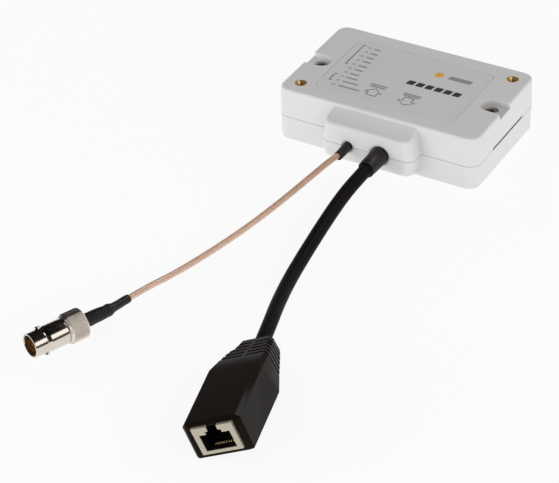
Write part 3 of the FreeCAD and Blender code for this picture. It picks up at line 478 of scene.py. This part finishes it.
def greyHousing(facts, pocket, slit):  # with painted shade in the right screw pocket and round the prying slot
    made, board = newMaterial("grey_housing")
    tone, rough, normal = mouldedSkin(board, **facts)
    x = board.node("ShaderNodeSeparateXYZ", {}, {0: board.place()})
    y, z = board.other(x, "Y"), board.other(x, "Z")
    inPocket = (x > pocket["fromX"]) * (abs(y - pocket["y"]) < pocket["halfY"]) * (z > pocket["floor"])
    atSlot = (x > slit["fromX"]) * (abs(y - slit["y"]) < slit["halfY"])
    atSlot *= abs(z - slit["z"]) < slit["halfZ"]
    shaded = inPocket * ((pocket["rim"] - z) * shadeRise).limited() * pocket["share"]
    tone = board.mix(shaded.highest(atSlot * slit["share"]), tone, (0.02, 0.02, 0.02, 1))
    board.surface(Base_Color=tone, Roughness=rough, Normal=normal)
    return made


# painted reflection: a dark band along the collar's top, where it would mirror the dark surroundings
knurlShade = {"sideways": (0.9195, -0.3932, 0.0), "above": 0.0094, "before": 0.0317, "share": 0.93,
              "tones": ((0.76, 0.68, 0.60, 1), (0.86, 0.78, 0.70, 1)), "dark": (0.045, 0.026, 0.02, 1)}


def knurledNickel(facts):  # duller than the barrel, with a painted reflection of the dark surroundings along the far side of its top
    made, board = newMaterial("knurled_nickel")
    height = board.placeAlong((0, 0, 1))
    cloud, marks = board.noise(160, 3, 0.6), board.noise(900, 3, 0.7)
    high = ((height - facts["above"]) * shadeRise).limited()
    far = ((facts["before"] - board.placeAlong(facts["sideways"])) * shadeRise).limited()
    tone = board.mix(high * far * facts["share"], board.mix(cloud, *facts["tones"]), facts["dark"])
    board.surface(Base_Color=tone, Metallic=0.6, Roughness=0.36 + (marks - 0.5) * 0.2,
                  Normal=board.bump(marks, 0.00001, 0.35))
    return made


finishes = {slot: metal(slot, **values) for slot, values in metalKinds.items()}
finishes.update({slot: mouldedPlastic(slot, **values) for slot, values in plasticKinds.items()})
finishes["grey_plastic"] = greyHousing(mouldedGrey, pocketShade, slotShade)
finishes["coax_jacket"] = braidUnderJacket(braid)
finishes["cable_jacket"] = cableJacket(cableSkin)
knurlNickelAndPaintedReflection = knurledNickel(knurlShade)

for row in frame["record"]["subparts"]:
    solid = nodes[row["node"]]
    solid.data.materials.clear()
    solid.data.materials.append(finishes[row["material_slot"]])
nodes["network_jack_contacts"].data.materials[0] = contactGoldWithPaintedShade(contactPaintedShade)


# The two cords as tubes

def makeCord(name, points, facts, slot, solid, steps):
    radius = facts["diameter"] / 2
    return finishPiece(sweptTube(name, points, lambda run, angle: radius, steps), slot, [solid])


coaxTube = makeCord("coaxBraid", coaxPoints, coaxCord, "coax_jacket", "coax_cord", 32)
networkTube = makeCord("networkJacket", networkPoints, networkCord, "cable_jacket", "network_cord", 48)
print("cords made")


# Bayonet jack at the end of the coax, turned about its own line

coaxJack = {"seat": (-42.44, -176.45, 5.91), "across": (0.9195, -0.3932, 0), "along": (0.3932, 0.9195, 0),
            "mouth": -22.9, "barrelRadius": 4.825, "chamfer": 0.15, "boreRadius": 4.05, "boreDepth": 9.0,
            "ringRadius": 5.075, "ringEnd": -17.4, "ringStep": 0.3, "ringRamp": 1.6, "neckDepth": 0.25,
            "collarFront": -7.9, "collarRadius": 5.9, "knurlBed": 0.16, "collarBore": 2.6,
            "shoulderRadius": 5.35, "shoulderLength": 1.0, "shadeSheet": 0.08,
            "lugRadius": 1.0, "lugRoot": 4.6, "lugReach": 5.6, "lugPlace": 5.3, "lugTilt": -35,
            "lugSides": 24}
knurl = {"across": 58, "rows": 12, "pitch": 0.52, "height": 0.33, "radius": 5.70, "start": -6.4,
         "slim": 0.62}
jackSeat = frameAt(coaxJack["seat"], coaxJack["across"], coaxJack["along"])


def makeBarrel(jack):
    mouth, outer, bore, chamfer = (jack[key] for key in ("mouth", "barrelRadius", "boreRadius", "chamfer"))
    ring, ringEnd, neck = jack["ringRadius"], jack["ringEnd"], outer - jack["neckDepth"]
    floor, front = mouth + jack["boreDepth"], jack["collarFront"]
    profile = [(floor, 0.0), (floor, bore), (mouth + 0.35, bore), (mouth, bore + 0.12),
               (mouth, outer - chamfer), (mouth + chamfer, outer), (ringEnd - 0.12, outer),
               (ringEnd + 0.1, outer - jack["ringStep"]), (ringEnd + jack["ringRamp"], ring),
               (front - 0.6, ring), (front - 0.45, neck), (front, neck), (front, 0.0)]
    return turnedPart("bayonetBarrel", rounded(profile, 0.10, 3), jackSeat, 128)


def makeBoreShadeLining(jack):  # painted shade: a thin dark brown metal sheet on the bore's wall, behind the bright rim
    lip, bore, floor = jack["mouth"] + 0.5, jack["boreRadius"], jack["mouth"] + jack["boreDepth"]
    film, hole = jack["shadeSheet"], jack["collarBore"]
    profile = [(floor, hole), (floor, bore), (lip, bore), (lip, bore - film), (floor - film, bore - film),
               (floor - film, hole), (floor, hole)]
    return turnedPart("bayonetBore", profile, jackSeat, 96)


def makeLugs(jack):
    lugs, sides = bmesh.new(), jack["lugSides"]
    radius, reach = jack["lugRadius"], jack["lugReach"]
    rows = rounded([(jack["lugRoot"], radius), (reach - 0.12, radius), (reach, radius - 0.15),
                    (reach, 0.0)], 0.1, 2)
    for turn in (jack["lugTilt"], jack["lugTilt"] + 180):
        outward = Matrix.Rotation(math.radians(turn), 4, "Y")
        place = Matrix.Translation(Vector((0, jack["mouth"] + jack["lugPlace"], 0)) * mm)
        rings = []
        for height, size in rows:
            ring = []
            for i in range(sides):
                angle = 2 * math.pi * i / sides
                spot = Vector((size * math.cos(angle), size * math.sin(angle), height)) * mm
                ring.append(lugs.verts.new(jackSeat @ place @ outward @ spot))
            rings.append(ring)
        for low, high in zip(rings, rings[1:]):
            for i in range(sides):
                j = (i + 1) % sides
                lugs.faces.new((low[i], low[j], high[j], high[i]))
        lugs.faces.new(list(reversed(rings[0])))
    bmesh.ops.remove_doubles(lugs, verts=lugs.verts, dist=weldGap)
    bmesh.ops.recalc_face_normals(lugs, faces=lugs.faces)
    return newObject("bayonetLugs", shadeSmooth(meshOf("bayonetLugs", lugs), 40))


def makeCollar(jack):
    front, shoulder, hole = jack["collarFront"], jack["shoulderRadius"], jack["collarBore"]
    body, outer = front + jack["shoulderLength"], jack["collarRadius"]
    bed = outer - jack["knurlBed"]
    profile = [(front, 3.0), (front, shoulder), (body, shoulder), (body + 0.35, bed), (-0.45, bed),
               (-0.1, outer - 0.55), (0.0, outer - 0.75), (0.0, hole), (front, 3.0)]
    return turnedPart("jackCollar", rounded(profile, 0.12, 3), jackSeat, 128)


def treeWith(name, inputs):  # a Geometry Nodes tree with named inputs
    tree = bpy.data.node_groups.new(name, "GeometryNodeTree")
    board = Board(tree)
    kinds = {float: "NodeSocketFloat", int: "NodeSocketInt"}
    tree.interface.new_socket("Geometry", in_out="OUTPUT", socket_type="NodeSocketGeometry")
    keys = {}
    for label, value in inputs.items():
        kind = kinds.get(type(value), "NodeSocketMaterial")
        socket = tree.interface.new_socket(label, in_out="INPUT", socket_type=kind)
        keys[label] = socket.identifier
    source = tree.nodes.new("NodeGroupInput")
    signals = {label: Signal(board, board.pick(source.outputs, key)) for label, key in keys.items()}
    return board, signals, keys


def endTree(board, geometry, material):
    real = board.node("GeometryNodeRealizeInstances", {}, {0: geometry})
    painted = board.node("GeometryNodeSetMaterial", {}, {"Geometry": real, "Material": material})
    board.node("NodeGroupOutput", {}, {0: painted})


def grown(name, board, keys, inputs, seat):  # runs a tree on an empty mesh and keeps the result
    piece = newObject(name, bpy.data.meshes.new(name))
    modifier = piece.modifiers.new("grow", "NODES")
    modifier.node_group = board.tree
    for label, value in inputs.items():
        modifier[keys[label]] = value
    applied(piece)
    piece.data.transform(seat)
    return piece


def makeKnurl(facts):  # rows of small pyramids, each row half a step on from the last
    inputs = {"Across": facts["across"], "Rows": facts["rows"], "Pitch": facts["pitch"] * mm,
              "Height": facts["height"] * mm, "Radius": facts["radius"] * mm, "Start": facts["start"] * mm,
              "Slim": facts["slim"], "Material": knurlNickelAndPaintedReflection}
    board, given, keys = treeWith("knurlTree", inputs)
    count = given["Across"] * given["Rows"]
    line = board.node("GeometryNodeMeshLine", {"mode": "OFFSET"}, {"Count": count})
    index = board.node("GeometryNodeInputIndex")
    row = (index / given["Across"]).whole()
    turn = (index + row * 0.5) * (2 * math.pi) / given["Across"]
    spot = board.node("ShaderNodeCombineXYZ", {}, {
        "X": turn.sine() * given["Radius"], "Y": given["Start"] + row * given["Pitch"],
        "Z": turn.cosine() * given["Radius"]})
    points = board.node("GeometryNodeSetPosition", {}, {"Geometry": line, "Position": spot})
    cone = board.node("GeometryNodeMeshCone", {"fill_type": "NONE"}, {
        "Vertices": 4, "Side Segments": 1, "Radius Top": 0.0, "Radius Bottom": given["Pitch"] * 1.06,
        "Depth": given["Height"]})
    facing = board.node("ShaderNodeCombineXYZ", {}, {"Y": turn})
    slimmer = board.node("ShaderNodeCombineXYZ", {}, {"X": given["Slim"], "Y": 1.0, "Z": 1.0})
    placed = board.node("GeometryNodeInstanceOnPoints", {}, {
        "Points": points, "Instance": cone, "Rotation": facing, "Scale": slimmer})
    endTree(board, placed, given["Material"])
    return grown("collarKnurl", board, keys, inputs, jackSeat)


finishPiece(makeBarrel(coaxJack), "nickel", ["coax_jack_barrel"])
# painted shade: the bore's wall drawn in a dark brown metal, because it lies in the jack's shade
boreShadeMetal = metal("bore_painted_shade", (0.20, 0.10, 0.032), roughness=0.34, grain=1200, scratch=0.10, metallic=0.6)
finishPiece(makeBoreShadeLining(coaxJack), "nickel", material=boreShadeMetal)
finishPiece(makeLugs(coaxJack), "nickel")
finishPiece(makeCollar(coaxJack), "nickel", ["coax_jack_collar"], knurlNickelAndPaintedReflection)
finishPiece(makeKnurl(knurl), "nickel", material=knurlNickelAndPaintedReflection)
print("bayonet jack made")


# Shrunk boot behind the collar: follows a line of its own from the cord's end to the collar

boot = {"route": [(-0.036008, -0.154795, 0.004881), (-0.0369, -0.1602, 0.0054), (-0.0378, -0.1656, 0.00591),
                  (-0.0401, -0.1710, 0.00591), (-0.04244, -0.17645, 0.00591)],
        "radii": [(0, 2.72), (3, 2.70), (6.8, 2.62), (8.8, 2.50), (10.3, 2.38), (11.3, 2.45), (12.0, 2.45),
                  (13.0, 2.10), (14.0, 1.82), (15.8, 1.72), (18.8, 1.70), (22.2, 1.68), (22.7, 1.52)],
        "ripples": [(0.03, 3, 0.9), (0.02, 5, -1.7)]}  # depth in mm, number round it, twist along it


def between(table, value):  # straight steps between the rows of a short table
    for (low, first), (high, second) in zip(table, table[1:]):
        if value <= high:
            return first + (second - first) * max(0.0, value - low) / (high - low)
    return table[-1][1]


def makeBoot(facts):
    points = linePoints("bootLine", facts["route"], 16)
    total = lengthsAlong(points)[-1]

    def radiusAt(run, angle):
        fromCollar = (total - run) / total * facts["radii"][-1][0]
        ripple = sum(depth * math.sin(count * angle + twist * fromCollar)
                     for depth, count, twist in facts["ripples"])
        return (between(facts["radii"], fromCollar) + ripple * min(1.0, fromCollar / 3)) * mm
    return sweptTube("jackBoot", points, radiusAt, 40)


finishPiece(makeBoot(boot), "black_sleeve", ["coax_jack_boot"])
print("boot made")


# Painted shade in the gap between the shells: a dark ribbon on the groove's back wall, all round the
# housing

parting = {"height": 10.9, "half": 0.085, "proud": 0.03}


def makePartingGap(facts):
    cutter = bmesh.new()
    cutter.from_mesh(nodes["top_shell"].data)
    bmesh.ops.remove_doubles(cutter, verts=cutter.verts, dist=weldGap)
    found = bmesh.ops.bisect_plane(cutter, geom=cutter.verts[:] + cutter.edges[:] + cutter.faces[:],
                                   plane_co=(0, 0, facts["height"] * mm), plane_no=(0, 0, 1))
    links = {}  # each cut point with its neighbours, walked into closed loops
    for edge in found["geom_cut"]:
        if isinstance(edge, bmesh.types.BMEdge):
            for a, b in (edge.verts, reversed(edge.verts)):
                links.setdefault(a, []).append(b)
    loops = []
    while links:
        start = next(iter(links))
        loop, here = [start], start
        while here in links:
            ahead = links.pop(here)
            following = [v for v in ahead if v in links]
            if not following:
                break
            here = following[0]
            loop.append(here)
        loops.append([v.co.copy() for v in loop])
    outer = max(loops, key=lambda loop: max(p.x for p in loop) - min(p.x for p in loop))
    cutter.free()
    count = len(outer)
    area = sum(a.x * b.y - b.x * a.y for a, b in zip(outer, outer[1:] + outer[:1]))
    corners = []
    for i, point in enumerate(outer):
        along = outer[(i + 1) % count] - outer[i - 1]
        outward = Vector((along.y, -along.x, 0)).normalized() * (1 if area > 0 else -1)
        for height in (-facts["half"], facts["half"]):
            corners.append(point + outward * facts["proud"] * mm + Vector((0, 0, height * mm)))
    faces = [(2 * i, 2 * ((i + 1) % count), 2 * ((i + 1) % count) + 1, 2 * i + 1) for i in range(count)]
    if area < 0:
        faces = [tuple(reversed(face)) for face in faces]
    return newObject("partingGap", meshFrom("partingGap", corners, faces))


pryingSlot = {"x": (43.76, 44.78), "y": (-8.24, 19.64), "z": (10.83, 11.57)}


def makeSlotLining(facts):  # painted shade inside the prying slot: a dark sheet on its back, floor, ceiling and ends
    (x0, x1), (y0, y1), (z0, z1) = facts["x"], facts["y"], facts["z"]
    corners = [Vector(c) * mm for c in ((x0, y0, z0), (x1, y0, z0), (x1, y1, z0), (x0, y1, z0),
                                        (x0, y0, z1), (x1, y0, z1), (x1, y1, z1), (x0, y1, z1))]
    faces = [(0, 1, 2, 3), (7, 6, 5, 4), (0, 3, 7, 4), (0, 4, 5, 1), (3, 2, 6, 7)]
    return newObject("slotLining", meshFrom("slotLining", corners, faces))


gapShadow = mouldedPlastic("gap_shadow", (0.05, 0.047, 0.045), grain=1500, depth=0.00001)
finishPiece(makePartingGap(parting), "grey_plastic", material=gapShadow)
finishPiece(makeSlotLining(pryingSlot), "grey_plastic", material=gapShadow)
print("parting gap and prying slot made")


# Overmoulding of the network jack, with its edges rolled over

overmould = {"origin": (26.14, -163.99, 10.936), "heading": (0.2371, -0.9715, 0), "turn": 23.1,
             "roll": 0.36, "rollSteps": 3, "angle": 12,
             "pocket": {"wide": 8.2, "high": 6.1, "from": -45, "core": 6.6},  # keeps its size
             "lip": 0.6, "lipBelow": (-51, -5.3), "floorGap": 0.05,
             # rows: place along the jack, and how far its left and right sides swell
             "swell": [(-52.7, -0.9, 0.0), (-21.3, -2.0, 0.1), (-13.7, -1.8, 0.5), (0.0, -1.0, 0.3)]}
latchLip = {"size": (3.94, 0.3, 0.62), "place": (0, -52.72, 5.78), "roll": 0.08}


def jackFrame(facts):
    heading, turn = Vector(facts["heading"]).normalized(), math.radians(facts["turn"])
    level = Vector((-heading.y, heading.x, 0))
    return frameAt(facts["origin"], level * math.cos(turn) + Vector((0, 0, math.sin(turn))), -heading)


def makeOvermould(facts):
    piece = mergedCopy("jackOvermould", nodes["network_jack_housing"])
    seat, pocket = jackFrame(facts), facts["pocket"]
    back = seat.inverted()
    left = [(row[0], row[1]) for row in facts["swell"]]
    right = [(row[0], row[2]) for row in facts["swell"]]
    lipFrom, lipTop = facts["lipBelow"]
    for corner in piece.data.vertices:
        spot = back @ corner.co / mm
        inPocket = spot.y < pocket["from"] and abs(spot.x) < pocket["wide"] and abs(spot.z) < pocket["high"]
        if inPocket or max(abs(spot.x), abs(spot.z)) < pocket["core"]:
            continue
        side = left if spot.x < 0 else right
        spot.x += between(side, spot.y) * min(1.0, abs(spot.x) / 8)
        if spot.y < lipFrom and spot.z < lipTop:
            spot.y -= facts["lip"]  # the rim is thicker under the shield
        corner.co = seat @ (spot * mm)
        corner.co.z = max(corner.co.z, facts["floorGap"] * mm)
    return rollEdges(piece, facts["roll"], facts["angle"], facts["rollSteps"])


def makeLatchLip(facts, jack):  # flash of the overmoulding in the latch's slot, over the shield's cut edge
    lip = bmesh.new()
    bmesh.ops.create_cube(lip, size=1.0)
    bmesh.ops.scale(lip, verts=lip.verts, vec=Vector(facts["size"]) * mm)
    bmesh.ops.bevel(lip, geom=lip.edges[:], offset=facts["roll"] * mm, segments=2, affect="EDGES")
    bmesh.ops.translate(lip, verts=lip.verts, vec=Vector(facts["place"]) * mm)
    bmesh.ops.transform(lip, matrix=jackFrame(jack), verts=lip.verts)
    return newObject("latchLip", meshOf("latchLip", lip))


finishPiece(makeOvermould(overmould), "overmould_black", ["network_jack_housing"])
finishPiece(makeLatchLip(latchLip, overmould), "overmould_black")
print("overmoulding made")


# Sleeves where the cords leave the nose: shrunk on, with a flared root and an uneven cut end

sleeves = {
    "networkSleeve": {"solid": "network_sleeve", "exit": (6.5, -32.9, 10.8), "reach": 11.7, "radius": 3.75,
                      "cord": 2.88, "end": 3.4, "flange": 4.7, "lip": 0.28, "uneven": 0.45},
    "coaxSleeve": {"solid": "coax_sleeve", "exit": (-8.0, -32.9, 10.8), "reach": 8.1, "radius": 1.95,
                   "cord": 1.35, "end": 1.8, "flange": 3.2, "lip": 0.10, "uneven": 0.25}}
sleeveHold = {"tail": 4.5, "flange": (2.05, 4.0), "mouth": 2.6, "grip": 0.3}  # in the nose and on the cord


def makeSleeve(name, facts, hold):
    reach, radius, lip, cord, end = (facts[key] for key in ("reach", "radius", "lip", "cord", "end"))
    tail, (front, back), flange, grip = hold["tail"], hold["flange"], facts["flange"], cord - hold["grip"]
    profile = [(tail, cord), (tail, radius), (back, radius), (back, flange), (front, flange),
               (front, radius), (0.3, radius), (-0.5, radius + lip * 0.6), (-1.6, radius + lip * 0.4),
               (-4.0, radius - 0.02), (-reach * 0.8, radius - 0.1), (-reach + 1.1, end + lip * 0.2),
               (-reach + 0.35, end + lip * 0.5), (-reach, end - 0.12), (-reach, cord),
               (-reach + hold["mouth"], cord), (-reach + hold["mouth"], grip), (tail, grip), (tail, cord)]
    seat = frameAt(facts["exit"], (1, 0, 0), (0, 1, 0))
    piece = turnedPart(name, rounded(profile, 0.16, 3), seat, 72, 40)
    for corner in piece.data.vertices:
        spot = corner.co / mm - Vector(facts["exit"])
        share = max(0.0, -spot.y / reach - 0.72) / 0.28  # grows over the last 28 % of the sleeve
        angle = math.atan2(spot.z, spot.x)
        if spot.y < -0.5 and math.hypot(spot.x, spot.z) > cord - 0.1:
            corner.co.y -= facts["uneven"] * share * max(0.0, math.cos(angle + 0.9)) ** 3 * mm
            swell = 1 + 0.012 * math.sin(3 * angle + spot.y * 0.6) * min(1.0, -spot.y / 3)
            corner.co.x = (facts["exit"][0] + spot.x * swell) * mm
            corner.co.z = (facts["exit"][2] + spot.z * swell) * mm
    return piece


for name, facts in sleeves.items():
    finishPiece(makeSleeve(name, facts, sleeveHold), "black_sleeve", [facts["solid"]])
print("sleeves made")


# Brass inserts: countersunk mouth and threaded bore

brass = {"radius": 2.5, "bore": 1.45, "mouth": 0.3, "mouthWidth": 0.42, "chamfer": 0.22, "groove": 0.4,
         "threadDepth": 0.18, "threadPitch": 0.6, "threadTurns": 6}


def makeInsert(name, solid, facts):
    low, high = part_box(solid)
    middle = (Vector(low) + Vector(high)) / 2 / mm
    seat = frameAt((middle.x, middle.y, high[2] / mm), (1, 0, 0), (0, 0, 1))
    depth, bore, outer = (high[2] - low[2]) / mm, facts["bore"], facts["radius"]
    thread = []
    for turn in range(facts["threadTurns"]):
        top = -facts["mouth"] - turn * facts["threadPitch"]
        thread += [(top, bore + facts["threadDepth"]), (top - facts["threadPitch"] / 2, bore)]
    inner = outer - facts["groove"]
    profile = [(-depth, bore), (-depth, outer), (-depth * 0.6, outer), (-depth * 0.6, inner),
               (-depth * 0.4, inner), (-depth * 0.4, outer), (-facts["chamfer"], outer),
               (0.0, outer - facts["chamfer"]), (0.0, bore + facts["mouthWidth"]), *thread, (-depth, bore)]
    return turnedPart(name, profile, seat, 64)


for name, solid in (("frontInsert", "front_thread_insert"), ("rearInsert", "rear_thread_insert")):
    finishPiece(makeInsert(name, solid, brass), "insert_brass", [solid])
print("inserts made")


# Print on the panel: generic marks as thin strips of ink

panelTop, inkHeight = 23.9, 0.02
ringMarks = {"count": 10, "x": -25.55, "first": -11.7, "pitch": 3.61, "radius": 0.66, "width": 0.2}
darkLines = [  # points, width, and whether the line is closed: two brackets and two arrows
    ([(-27.7, 21.6), (-28.9, 21.6), (-28.9, 5.2), (-27.7, 5.2)], 0.36, False),
    ([(-27.7, -3.7), (-28.95, -3.7), (-28.95, -9.1), (-27.7, -9.1)], 0.36, False),
    ([(-10.4, -12.5), (-10.4, -10.1), (-11.9, -10.1), (-8.4, -7.0), (-4.5, -10.1), (-6.1, -10.1),
      (-6.1, -12.5)], 0.34, True),
    ([(5.0, -7.2), (5.0, -10.1), (2.9, -10.1), (7.0, -12.9), (10.9, -10.1), (9.1, -10.1), (9.1, -7.2)],
     0.34, True)]
slantedBlocks = {"count": 6, "first": 0.3, "width": 3.2, "pitch": 4.15, "low": 2.3, "high": 5.5,
                 "corner": 0.35}
slant = 0.18
longBar = (14.0, 24.2, 13.2, 15.9, 0.5)  # left, right, front, rear, and the rounding of the corners
amberDot = (7.9, 11.7, 12.6, 16.4, 1.88)
barHalf, barCorner = 0.5, 0.3
greyBars = [  # start, end and middle height: one beside each lamp window, then two by each arrow
    (-23.4, -13.7, -11.6), (-23.4, -16.3, -7.9), (-23.4, -18.3, -4.5), (-23.5, -19.3, -1.1),
    (-23.4, -19.4, 2.55), (-23.4, -19.4, 6.1), (-23.4, -19.5, 9.85), (-23.5, -20.0, 13.4),
    (-23.4, -19.9, 17.0), (-23.6, -20.7, 20.8),
    (-12.0, -4.5, -4.2), (-11.8, -4.9, -5.7), (3.1, 11.2, -4.6), (3.4, 10.8, -6.0)]


def strokeShape(ink, points, width, closed):  # a flat line of even width, mitred at its corners
    count = len(points)
    spots = [Vector(p) for p in points]
    sides = []
    for i, spot in enumerate(spots):
        before = spots[(i - 1) % count] if closed or i else None
        after = spots[(i + 1) % count] if closed or i < count - 1 else None
        into = (spot - before).normalized() if before else (after - spot).normalized()
        away = (after - spot).normalized() if after else into
        normal = Vector((-into.y, into.x)) + Vector((-away.y, away.x))
        reach = width / max(0.4, normal.length ** 2 / 2) / 2
        sides.append((spot + normal * reach, spot - normal * reach))
    pairs = list(zip(sides, sides[1:] + sides[:1])) if closed else list(zip(sides, sides[1:]))
    for (a, b), (c, d) in pairs:
        inkPatch(ink, [a, b, d, c])


def inkPatch(ink, outline):
    low = [ink.verts.new((p[0] * mm, p[1] * mm, panelTop * mm)) for p in outline]
    high = [ink.verts.new((p[0] * mm, p[1] * mm, (panelTop + inkHeight) * mm)) for p in outline]
    ink.faces.new(high)
    ink.faces.new(list(reversed(low)))
    for i in range(len(outline)):
        j = (i + 1) % len(outline)
        ink.faces.new((low[i], low[j], high[j], high[i]))


def roundedBar(x0, x1, y0, y1, radius, lean=0.0, steps=4):
    out = []
    for cx, cy, start in ((x1 - radius, y1 - radius, 0), (x0 + radius, y1 - radius, 90),
                          (x0 + radius, y0 + radius, 180), (x1 - radius, y0 + radius, 270)):
        for k in range(steps + 1):
            angle = math.radians(start + 90 * k / steps)
            x, y = cx + radius * math.cos(angle), cy + radius * math.sin(angle)
            out.append((x + lean * (y - y0), y))
    return out


def inkObject(name, draw, material):
    ink = bmesh.new()
    draw(ink)
    bmesh.ops.recalc_face_normals(ink, faces=ink.faces)
    finishPiece(newObject(name, meshOf(name, ink)), "label_film", material=material)


def drawDarkMarks(ink):
    for points, width, closed in darkLines:
        strokeShape(ink, points, width, closed)
    for k in range(slantedBlocks["count"]):
        start = slantedBlocks["first"] + slantedBlocks["pitch"] * k
        inkPatch(ink, roundedBar(start, start + slantedBlocks["width"], slantedBlocks["low"],
                                 slantedBlocks["high"], slantedBlocks["corner"], slant))


def drawGreyMarks(ink):
    for start, end, y in greyBars:
        inkPatch(ink, roundedBar(start, end, y - barHalf, y + barHalf, barCorner))
    inkPatch(ink, roundedBar(*longBar, slant))


def drawAmberMark(ink):
    inkPatch(ink, roundedBar(*amberDot, steps=8))


def makeRings(facts):  # one thin ring round each lamp window
    inputs = {"Count": facts["count"], "Radius": facts["radius"] * mm, "Width": facts["width"] * mm,
              "Pitch": facts["pitch"] * mm, "Material": inks["grey"]}
    board, given, keys = treeWith("lampRingTree", inputs)
    step = board.node("ShaderNodeCombineXYZ", {}, {"Y": given["Pitch"]})
    line = board.node("GeometryNodeMeshLine", {"mode": "OFFSET"}, {"Count": given["Count"], "Offset": step})
    circle = board.node("GeometryNodeCurvePrimitiveCircle", {},
                        {"Resolution": 28, "Radius": given["Radius"]})
    section = board.node("GeometryNodeCurvePrimitiveCircle", {},
                         {"Resolution": 6, "Radius": given["Width"] * 0.5})
    ring = board.node("GeometryNodeCurveToMesh", {}, {0: circle, 1: section})
    placed = board.node("GeometryNodeInstanceOnPoints", {}, {"Points": line, "Instance": ring})
    endTree(board, placed, given["Material"])
    seat = Matrix.Translation(Vector((facts["x"], facts["first"], panelTop)) * mm)
    return grown("lampRings", board, keys, inputs, seat)


inkTones = {"dark": (0.045, 0.045, 0.047), "grey": (0.31, 0.305, 0.30), "amber": (0.82, 0.40, 0.03)}
inks = {name: mouldedPlastic(name + "_ink", tone, grain=1500, depth=0.00001, roughness=0.42)
        for name, tone in inkTones.items()}
inkObject("darkMarks", drawDarkMarks, inks["dark"])
inkObject("greyMarks", drawGreyMarks, inks["grey"])
inkObject("amberMark", drawAmberMark, inks["amber"])
finishPiece(makeRings(ringMarks), "label_film", material=inks["grey"])
print("print made")


# Floor, light and surroundings

studio = {"band": 1.19, "overhead": 0.30, "bandTop": 0.57, "floorTone": 0.93, "floorLift": 0.89,
          "floorDrop": 0.0002, "lampAim": (0.0, -0.06, 0.01), "tentRadius": 1.6,
          "sweepHeight": 0.14, "sweepToward": (-0.47, 0.88)}
lamps = {
    "softbox": {"place": (0.95, -0.085, 0.557), "size": (1.0, 0.6), "power": 2.6,
                "shows": ("diffuse", "glossy")},
    "leftFill": {"place": (-0.42, -0.62, 0.16), "size": (0.5, 0.3), "power": 1.35, "shows": ("diffuse",)},
    "frontFill": {"place": (0.45, -0.85, 0.25), "size": (0.5, 0.3), "power": 0.25, "shows": ("diffuse",)},
    "edgeGlint": {"place": (0.26, 0.85, 0.80), "size": (0.5, 0.5), "power": 4.5, "shows": ("glossy",)}}


def seenDirectly(board):  # 1 where the camera sees it, straight or by a mirror or glass
    path = board.node("ShaderNodeLightPath", {}, {}, "Is Camera Ray")
    mirrored, through = board.other(path, "Is Glossy Ray"), board.other(path, "Is Transmission Ray")
    return path.highest(mirrored).highest(through)


def makeFloor(facts):
    disc = bmesh.new()
    bmesh.ops.create_circle(disc, cap_ends=True, segments=96, radius=3.0)
    bmesh.ops.translate(disc, verts=disc.verts, vec=(0, 0, -facts["floorDrop"]))
    floor = newObject("studioFloor", meshOf("studioFloor", disc))
    made, board = newMaterial("studio_floor")
    tone = facts["floorTone"]
    paper = board.node("ShaderNodeBsdfDiffuse", {}, {"Color": (tone, tone, tone, 1)})
    white = board.node("ShaderNodeEmission", {}, {"Color": (1, 1, 1, 1), "Strength": 1.0})
    bounced = board.node("ShaderNodeLightPath", {}, {}, "Is Diffuse Ray")
    lift = seenDirectly(board) * facts["floorLift"]
    both = board.node("ShaderNodeMixShader", {}, {0: lift.highest(bounced), 1: paper, 2: white})
    board.node("ShaderNodeOutputMaterial", {}, {"Surface": both})
    floor.data.materials.append(made)


def makeWorld(facts):  # a bright band round the horizon and a dimmer sky; the camera and mirrors see white
    world = bpy.data.worlds.new("studio")
    scene.world = world
    world.use_nodes = True
    board = Board(world.node_tree)
    heading = board.node("ShaderNodeTexCoord", output="Generated")
    height = board.node("ShaderNodeSeparateXYZ", {}, {0: heading}, "Z")
    soft = (height < facts["bandTop"]) * (facts["band"] - facts["overhead"]) + facts["overhead"]
    seen = seenDirectly(board)
    strength = soft * (1 - seen) + seen
    glow = board.node("ShaderNodeBackground", {}, {"Color": (1, 1, 1, 1), "Strength": strength})
    board.node("ShaderNodeOutputWorld", {}, {"Surface": glow})


def makeLamp(name, facts, aim):
    data = bpy.data.lights.new(name, "AREA")
    data.shape = "RECTANGLE"
    data.size, data.size_y = facts["size"]
    data.energy = facts["power"]
    light = newObject(name, data)
    for ray in ("diffuse", "glossy"):
        setattr(light, "visible_" + ray, ray in facts["shows"])
    place = Vector(facts["place"])
    turn = (Vector(aim) - place).to_track_quat("-Z", "Y").to_matrix().to_4x4()
    light.matrix_world = Matrix.Translation(place) @ turn


def makeTent(facts):  # dark cloth, seen only in reflections, above the white sweep behind the object
    cloth = bmesh.new()
    bmesh.ops.create_icosphere(cloth, subdivisions=5, radius=facts["tentRadius"])
    sweep = Vector((*facts["sweepToward"], 0))
    lost = []
    for face in cloth.faces:
        middle = face.calc_center_median()
        if middle.z < (facts["sweepHeight"] if middle.dot(sweep) > 0.3 else -0.05):
            lost.append(face)
    bmesh.ops.delete(cloth, geom=lost, context="FACES")
    tent = newObject("darkTent", meshOf("darkTent", cloth))
    made, board = newMaterial("dark_cloth")
    black = board.node("ShaderNodeBsdfDiffuse", {}, {"Color": (0.003, 0.0027, 0.0024, 1)})
    board.node("ShaderNodeOutputMaterial", {}, {"Surface": black})
    tent.data.materials.append(made)
    for ray in ("camera", "diffuse", "transmission", "volume_scatter", "shadow"):
        setattr(tent, "visible_" + ray, False)


makeFloor(studio)
makeWorld(studio)
for name, facts in lamps.items():
    makeLamp(name, facts, studio["lampAim"])
makeTent(studio)
scene.view_settings.view_transform = "Standard"
print("studio made")
